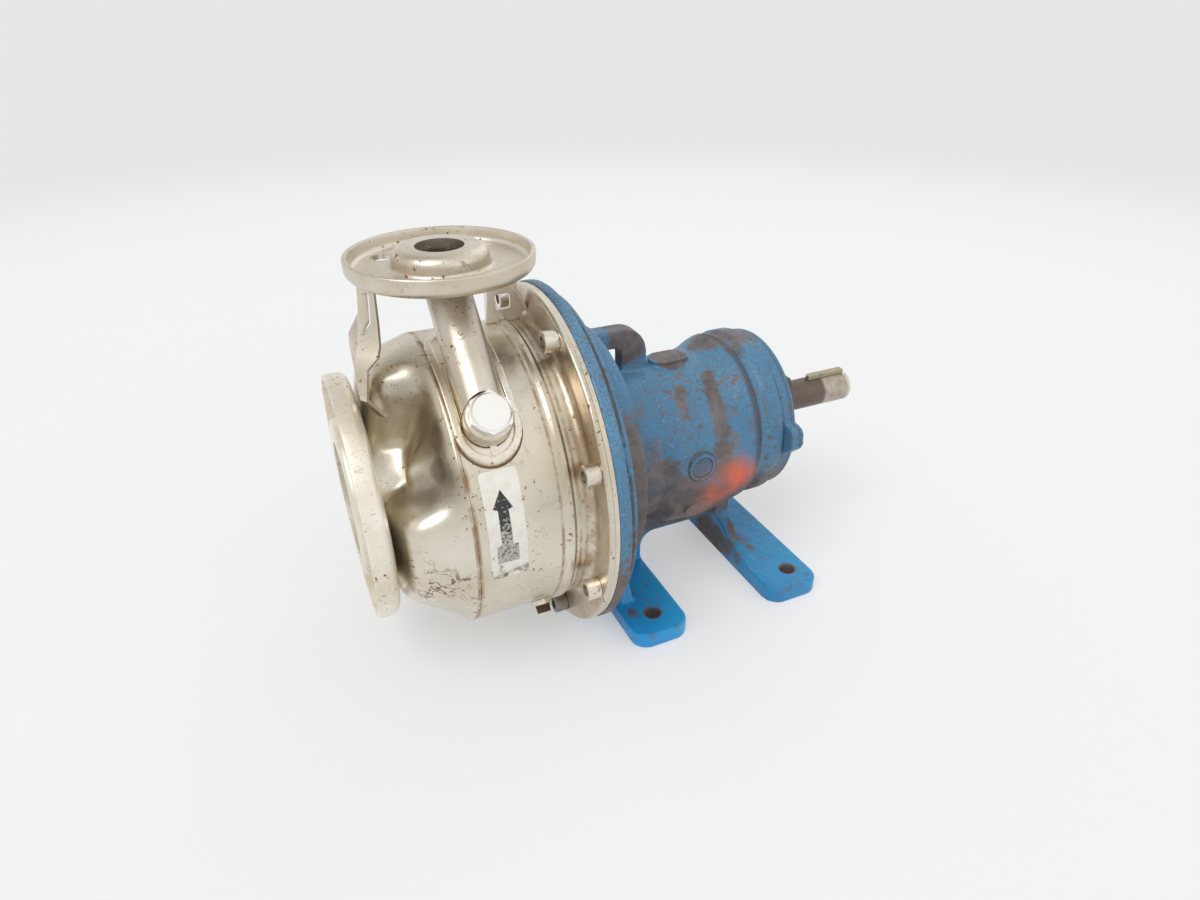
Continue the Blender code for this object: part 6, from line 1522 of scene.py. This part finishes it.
def bare_shaft(name):
    """Oxidised brown near the bearing, worn bright towards the end."""
    n = Nodes(name)
    cloud = n.noise(40, 5, 0.6)
    fine = n.noise(150, 5, 0.65)
    ring = n.noise(300, 3, 0.5, stretch=(1, 0.15, 0.15))
    edge = n.plus(n.axis(0), n.times(n.minus(cloud, 0.5), 0.006))
    start = world((0.2765, 0, 0))[0]
    bright = n.step(edge, start, start + 0.0045)
    dark = n.mix(cloud, (0.115, 0.088, 0.072), (0.215, 0.175, 0.150))
    light = n.mix(n.step(fine, 0.40, 0.72), (0.50, 0.455, 0.385), (0.36, 0.30, 0.235))
    end = n.line(0, SHAFT_END_X - 0.0020, 0.0012, 0.0020)
    light = n.mix(n.times(end, 0.8), light, (0.72, 0.68, 0.58))
    colour = n.mix(bright, dark, light)
    n.bump((ring, 0.00003), (cloud, 0.00005))
    return n.done(colour, n.span(fine, 0.30, 0.56), n.minus(1.0, n.times(fine, 0.25)))


def plain_metal(name, base, rough, metallic=1.0, dirt=(0.25, 0.17, 0.10), share=0.35):
    n = Nodes(name)
    cloud = n.noise(70, 5, 0.6)
    fine = n.noise(420, 3, 0.5)
    colour = n.mix(n.times(n.step(cloud, 0.52, 0.70), share), base, dirt)
    n.bump((fine, 0.00004))
    return n.done(colour, n.span(cloud, rough - 0.08, rough + 0.12), metallic)


def rusty_iron(name):
    n = Nodes(name)
    lumps = n.noise(240, 6, 0.7)
    patch = n.noise(60, 5, 0.6)
    colour = n.mix(n.step(patch, 0.35, 0.65), (0.075, 0.040, 0.024), (0.24, 0.125, 0.055))
    n.bump((patch, 0.0004), (lumps, 0.0003))
    return n.done(colour, n.span(lumps, 0.65, 0.95), n.span(patch, 0.0, 0.4))


def soft_dark(name, base, rough):
    n = Nodes(name)
    fine = n.noise(500, 3, 0.5)
    colour = n.mix(n.step(n.noise(60, 4, 0.5), 0.4, 0.7), base, tuple(min(1, c * 1.6 + 0.01) for c in base))
    n.bump((fine, 0.00003))
    return n.done(colour, n.span(fine, rough - 0.08, rough + 0.08), 0.0)


def printed_paper(name):
    """White label, yellowed, scuffed away at its lower end."""
    n = Nodes(name)
    patch = n.noise(120, 5, 0.65, distort=0.5)
    low = n.lower(0.004, -0.022)
    edge = n.minus(1.0, n.times(n.line(0, LABEL_X, LABEL_WIDTH / 2 - 0.0035, 0.0030)))
    scuff = n.plus(n.minus(patch, 0.66), n.times(low, 0.13))
    scuff = n.plus(scuff, n.times(edge, 0.07))
    colour = n.mix(n.step(patch, 0.35, 0.75), (0.90, 0.875, 0.81), (0.80, 0.75, 0.64))
    colour = n.mix(n.step(scuff, 0.00, 0.07), colour, (0.44, 0.345, 0.205))
    end = n.lower(-0.012, -0.019)
    colour = n.mix(n.times(end, n.step(patch, 0.40, 0.56), 0.85), colour, (0.20, 0.150, 0.085))
    n.bump((patch, 0.00008))
    return n.done(colour, n.span(patch, 0.35, 0.60), 0.0)


def worn_ink(name):
    """Black print, flaked off towards its lower end."""
    n = Nodes(name)
    patch = n.noise(520, 5, 0.7)
    low = n.lower(0.036, 0.006)
    gone = n.step(n.plus(patch, n.times(low, 0.17)), 0.565, 0.66)
    colour = n.mix(gone, (0.030, 0.030, 0.030), (0.52, 0.49, 0.43))
    return n.done(colour, n.span(patch, 0.40, 0.60), 0.0)


def wrapped(name, outline, low, high, paint):
    """A sheet on the barrel: its outline is in (x, arc length from the near side)."""
    mesh_data = bmesh.new()
    mesh_data.faces.new([mesh_data.verts.new((x, 0, arc)) for x, arc in outline])
    steps = 36
    lows = min(arc for x, arc in outline)
    highs = max(arc for x, arc in outline)
    for step in range(1, steps):
        arc = lows + (highs - lows) * step / steps
        everything = [*mesh_data.verts, *mesh_data.edges, *mesh_data.faces]
        bmesh.ops.bisect_plane(mesh_data, geom=everything, plane_co=(0, 0, arc), plane_no=(0, 0, 1))
    for spot in mesh_data.verts:
        turn = radial(degrees(spot.co.z / BARREL_RADIUS)) * low
        spot.co = (spot.co.x, turn.y, turn.z)
    mesh_data.normal_update()
    inward = [face for face in mesh_data.faces
              if face.normal.dot(face.calc_center_median() * Vector((0, 1, 1))) < 0]
    bmesh.ops.reverse_faces(mesh_data, faces=inward)
    made = placed(name, as_mesh(name, mesh_data), datum)
    wall = made.modifiers.new("sheet", "SOLIDIFY")
    wall.thickness = high - low
    wall.offset = 1
    return bake(made, "pump_body", paint, name)


def pale_floor(name):
    """White floor that keeps the pump's shadow and melts into the background far away."""
    n = Nodes(name)
    away = n.add("ShaderNodeVectorMath", operation="LENGTH")
    n.put(away.inputs[0], n.place)
    far = n.step(away.outputs["Value"], 0.75, 2.6)
    share = n.times(n.span(far, 0.40, 1.0), n.seen())
    tint = n.mix(far, (0.97, 0.97, 0.97), BACKGROUND)
    white = n.mix(n.noise(3, 2, 0.5), (0.86, 0.86, 0.86), (0.875, 0.875, 0.875))
    n.done(white, 0.65, 0.0)
    n.shader.inputs["Specular IOR Level"].default_value = 0.25
    plain = n.add("ShaderNodeEmission")
    n.put(plain.inputs["Color"], tint)
    n.blend(share, n.shader.outputs[0], plain.outputs[0], "Material Output")
    return n.material


def studio_sky(owner):
    """Even light for the pump; the camera, metal and glass see the pale background."""
    n = Nodes(owner, "Background", "Generated")
    n.put(n.shader.inputs[0], (0.96, 0.98, 1.0))
    n.put(n.shader.inputs[1], 0.46)
    plain = n.add("ShaderNodeBackground")
    n.put(plain.inputs[0], n.mix(n.step(n.axis(2), 0.25, 0.85), BACKGROUND, (0.46, 0.455, 0.44)))
    n.blend(n.seen(), n.shader.outputs[0], plain.outputs[0], "World Output")


def bake(made, body, paint, name, smoothing=None):
    """Fixes a built object as one mesh in place, and lets it stand for its solid."""
    bpy.context.view_layer.update()
    if smoothing:
        grid = made.modifiers.new("grid", "REMESH")
        grid.mode = "VOXEL"
        soft = made.modifiers.new("soft", "SMOOTH")
        grid.voxel_size, soft.iterations = smoothing
    source = made.evaluated_get(bpy.context.evaluated_depsgraph_get())
    mesh = bpy.data.meshes.new_from_object(source)
    mesh.transform(source.matrix_world)
    mesh.materials.clear()
    mesh.materials.append(paint)
    for face in mesh.polygons:
        face.material_index = 0
    mesh.shade_smooth()
    mesh.set_sharp_from_angle(angle=CREASE)
    piece = placed(name + "_fine", mesh)
    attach(piece, body)
    if name in frame["nodes"]:
        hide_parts(name)
    return piece


def drop_guides():
    """Removes the construction objects, which are all parented to the datum."""
    for guide in list(datum.children):
        bpy.data.objects.remove(guide, do_unlink=True)


SEAM_LINE = (SEAM_X, 0.0013, 0.75)
# Painted shade with grime: darker grey-brown spots in the valley round the dome, where the hollow lies in shade
VALLEY_SHADE = [((-0.1040, -0.0900, 0.0500), 0.008, 0.018, 0.62), ((-0.1100, -0.0830, 0.0400), 0.006, 0.018, 0.60),
          ((-0.1080, -0.0700, 0.0660), 0.008, 0.018, 0.62), ((-0.1120, -0.0500, 0.0740), 0.006, 0.018, 0.52),
          ((-0.1180, -0.0740, 0.0380), 0.005, 0.014, 0.55), ((-0.1100, -0.0250, 0.0900), 0.006, 0.020, 0.42),
          ((-0.1020, -0.0200, 0.1060), 0.006, 0.022, 0.30), ((-0.1046, -0.0679, 0.0721), 0.007, 0.010, 0.80),
          ((-0.1062, -0.0768, 0.0536), 0.007, 0.010, 0.85), ((-0.1300, -0.0660, 0.0240), 0.004, 0.012, 0.35)]
LOBE_SCUFFS = [((-0.1330, -0.1010, -0.0080), 0.007, 0.012, 0.9), ((-0.1200, -0.1050, -0.0200), 0.010, 0.012, 1.0),
               ((-0.1040, -0.1110, -0.0270), 0.009, 0.010, 1.0), ((-0.1260, -0.0990, -0.0330), 0.006, 0.010, 0.7)]
SCRATCH = [((-0.0786, -0.0481, 0.1377), 0.0028, 0.003, 1.0), ((-0.0792, -0.0522, 0.1333), 0.0028, 0.003, 1.0),
           ((-0.0798, -0.0564, 0.1289), 0.0028, 0.003, 1.0), ((-0.0802, -0.0608, 0.1244), 0.0026, 0.003, 0.8)]
soft_steel = stainless("pressed_sheet", (0.81, 0.77, 0.68), 0.50, 0.26, 0.60, [SEAM_LINE], VALLEY_SHADE, LOBE_SCUFFS)
# The tube: painted shade with grime in a dark patch just under the discharge flange, and a scratch line
tube_steel = stainless("tube_sheet", (0.77, 0.73, 0.655), 0.45, 0.34, 0.55,
                       grime_and_shade_spots=[((-0.0725, -0.0200, 0.1560), 0.006, 0.022, 0.50)], scuffs=SCRATCH)
flange_steel = stainless("flange_sheet", (0.81, 0.765, 0.685), 0.60, 0.32, 1.1,
                         rusty_bore=[((DISCHARGE_X, 0, DISCHARGE_RIM_HEIGHT - 0.0130), 0.0188)])
# Barrel: a brown line at the weld seam; brown lines of painted crease shade beside the bead and in the ring's
# fillet; two dark patches on the near side, painted shade with grime
barrel_steel = stainless("barrel_sheet", (0.765, 0.72, 0.62), 0.55, 0.29, 0.80,
                         [SEAM_LINE, (BEAD_X - 0.0068, 0.0007, 0.7), (BEAD_X + 0.0068, 0.0007, 0.6),
                          (RING_FACE_X - 0.0035, 0.0022, 0.55)],
                         [((-0.0120, -0.0980, 0.0750), 0.004, 0.030, 0.30),
                          ((-0.0300, -0.1120, 0.0250), 0.006, 0.036, 0.14)])
saddle_steel = stainless("saddle_sheet", (0.90, 0.86, 0.78), 0.45, 0.30, 0.90)
seam_rust = plain_metal("seam_stain", (0.20, 0.120, 0.060), 0.60, 0.3, (0.09, 0.055, 0.035), 0.8)
key_steel = plain_metal("key_steel", (0.42, 0.37, 0.26), 0.40, 0.9, (0.16, 0.115, 0.070), 0.8)
# Painted reflection: a lighter, less metallic copy of the sheet steel on the suction flange, for the bright
# surroundings it reflects
suction_steel_painted_reflection = stainless("suction_sheet", (0.96, 0.92, 0.82), 0.45, 0.36, 1.2, metal=0.60)
paper = printed_paper("label_paper")
ink = worn_ink("label_ink")
paint = painted_casting("blue_casting")
machined = plain_metal("machined_steel", (0.66, 0.64, 0.60), 0.28, share=0.45)
screw_steel = stainless("screw_steel", (0.84, 0.80, 0.73), 0.85, 0.30, 1.8,
                        grime_and_shade_spots=[((-0.0120, -0.0510, -0.1200), 0.012, 0.010, 0.85)])
plug_steel = plain_metal("plug_steel", (0.95, 0.94, 0.91), 0.24, share=0.10)
dark = plain_metal("dark_steel_worn", (0.12, 0.11, 0.10), 0.45)
cast = plain_metal("cast_wheel", (0.45, 0.42, 0.37), 0.50, share=0.6)
rusty = rusty_iron("rusty_iron")
shaft_paint = bare_shaft("bare_shaft")
rubber_black = soft_dark("black_rubber", (0.02, 0.02, 0.02), 0.75)
ceramic_white = soft_dark("lapped_ceramic", (0.62, 0.60, 0.55), 0.30)
paper_dark = soft_dark("gasket_sheet", (0.06, 0.065, 0.06), 0.85)

suction_flange()
suction_tube()
wear_ring()
discharge_flange()
volute_casing()
casing_barrel()
discharge_tube()
discharge_saddle()
gauge_tap()
drain_tap()
casing_screws()
front_stay()
rear_stay()
seal_plate()
impeller()
impeller_fixings()
pump_shaft()
coupling_key()
bearing_frame()
bearing_cover()
cover_gasket()
cover_screws()

paints = {
    "suction_flange": suction_steel_painted_reflection, "suction_tube": flange_steel, "front_wear_ring": machined,
    "discharge_flange": flange_steel, "volute_casing": soft_steel, "casing_barrel": barrel_steel,
    "discharge_tube": tube_steel, "discharge_saddle": saddle_steel, "gauge_boss": flange_steel,
    "gauge_plug": plug_steel, "drain_boss": flange_steel, "drain_plug": rusty,
    "front_stay": flange_steel, "rear_stay": flange_steel, "seal_plate": flange_steel,
    "impeller": cast, "impeller_shroud": cast, "impeller_key": dark,
    "impeller_washer": machined, "impeller_nut": machined,
    "pump_shaft": shaft_paint, "coupling_key": key_steel, "bearing_frame": paint,
    "bearing_cover": paint, "cover_gasket": paper_dark}
# Rounded edges of castings and of the pressed seat: grid size and rounds of smoothing
SMOOTHED = {"bearing_frame": (0.0013, 3), "bearing_cover": (0.0012, 3),
            "discharge_saddle": (0.0005, 4)}
rotor_nodes = frame["record"]["behaviour"]["bodies"]["rotor"]
for made in list(datum.children):
    node = made.name.split(".")[0]
    if made.hide_render or node not in frame["nodes"]:
        continue
    if node.startswith("casing_screw"):
        look = screw_steel
    elif node.startswith("cover_screw"):
        look = dark
    else:
        look = paints[node]
    bake(made, "rotor" if node in rotor_nodes else "pump_body", look, node, SMOOTHED.get(node))

for build, name in ((casting_mark, "casting_ring"), (sump_pad, "sump_pad_face"), (top_boss, "top_boss_face")):
    bake(build(), "pump_body", paint, name)

# Label on the barrel, and the small web under the gauge boss
turn = BARREL_RADIUS * radians(1)
half = LABEL_WIDTH / 2
sheet = plate(LABEL_X - half, LABEL_X + half, LABEL_LOW * turn, LABEL_TOP * turn, LABEL_CORNER)
wrapped("rotation_label", sheet, BARREL_RADIUS + 0.0001, BARREL_RADIUS + 0.0003, paper)
arrow = [(-0.0042, 3.6), (-0.0078, 3.4), (-0.0078, -3.6), (0.0078, -3.9), (0.0078, 3.2), (0.0042, 3.4),
         (0.0037, 16.4), (0.0070, 16.8), (0.0, 23.6), (-0.0070, 17.4), (-0.0037, 16.6)]
wrapped("rotation_arrow", [(LABEL_X - 0.0008 + x, angle * turn) for x, angle in reversed(arrow)],
        BARREL_RADIUS + 0.00032, BARREL_RADIUS + 0.00040, ink)
half_turn = radians((SADDLE_TOP_ANGLE - SADDLE_LOW_ANGLE) / 2)
half_length = (BARREL_RADIUS + SADDLE_THICKNESS) * sin(half_turn)
low, high = SEAM_X + 0.0004, DISCHARGE_X + 0.0300
inner, outer = BARREL_RADIUS - 0.0005, BARREL_RADIUS + 0.0005
stain = turned("saddle_stain", [(low, inner), (low, outer), (high, outer), (high, inner)], RIM_FACETS)
keep_inside(stain, obround("stain_outline", half_length + 0.0009, SADDLE_WIDTH / 2 + 0.0009))
cut(stain, obround("stain_inner", half_length - 0.0015, SADDLE_WIDTH / 2 - 0.0015))
bake(stain, "pump_body", seam_rust, "saddle_stain")
low, high = DISCHARGE_X - 0.0022, DISCHARGE_X + 0.0022
wrapped("boss_web", [(x, angle * turn) for x, angle in ((low, 34.2), (high, 34.2), (high, 38.4), (low, 38.4))],
        BARREL_RADIUS + SEAT_GAP + SADDLE_FLOOR, BARREL_RADIUS + SADDLE_THICKNESS - 0.0004, saddle_steel)
drop_guides()
origin = datum.location.copy()
bpy.data.objects.remove(datum, do_unlink=True)

kept = {
    "casing_o_ring": rubber_black, "slinger": rubber_black, "inboard_lip_seal": rubber_black,
    "outboard_lip_seal": rubber_black, "seal_seat": ceramic_white, "seal_head": dark,
    "seal_spring": machined, "shaft_sleeve": machined, "snap_ring": dark}
for name, node in frame["nodes"].items():
    look = kept.get(name, machined)
    if node.data.materials:
        for index in range(len(node.data.materials)):
            node.data.materials[index] = look
    else:
        node.data.materials.append(look)

# Camera, floor and light
SENSOR_WIDTH = 36
LENS = 23.098
CAMERA_PLACE = (-0.19023, -0.52564, 0.33254)
CAMERA_RIGHT = (0.90986, -0.41491, -0.00332)
CAMERA_UP = (0.21461, 0.46375, 0.85958)
CAMERA_BACK = (-0.35511, -0.78281, 0.51099)
FLOOR_HALF_SIZE = 6.0
FLOOR_DROP = 0.0002
camera_data = bpy.data.cameras.new("camera")
camera_data.sensor_width = SENSOR_WIDTH
camera_data.lens = LENS
camera = placed("camera", camera_data)
matrix = Matrix((CAMERA_RIGHT, CAMERA_UP, CAMERA_BACK)).transposed().to_4x4()
matrix.translation = Vector(CAMERA_PLACE) + origin
camera.matrix_world = matrix
bpy.context.scene.camera = camera

floor_data = bmesh.new()
bmesh.ops.create_grid(floor_data, x_segments=1, y_segments=1, size=FLOOR_HALF_SIZE)
floor = placed("floor", as_mesh("floor", floor_data))
floor.location = (0, 0, -FLOOR_DROP)
floor.data.materials.append(pale_floor("pale_floor"))

bpy.context.scene.world = bpy.data.worlds.new("studio")
studio_sky(bpy.context.scene.world)


# Name, direction towards the sun, strength and spread in degrees
SUNS = [("key", (-0.75, -0.40, 1.15), 1.30, 38), ("top_soft", (0.3, -0.3, 1.0), 0.42, 80),
        ("far_side", (0.9, 0.8, 0.9), 0.25, 50), ("near_side", (0.6, -0.9, 0.7), 0.22, 70)]
for name, place, strength, spread in SUNS:
    data = bpy.data.lights.new(name, "SUN")
    data.energy = strength
    data.angle = radians(spread)
    placed(name, data).rotation_euler = (-Vector(place)).to_track_quat("-Z", "Y").to_euler()
bpy.context.scene.view_settings.view_transform = "Standard"
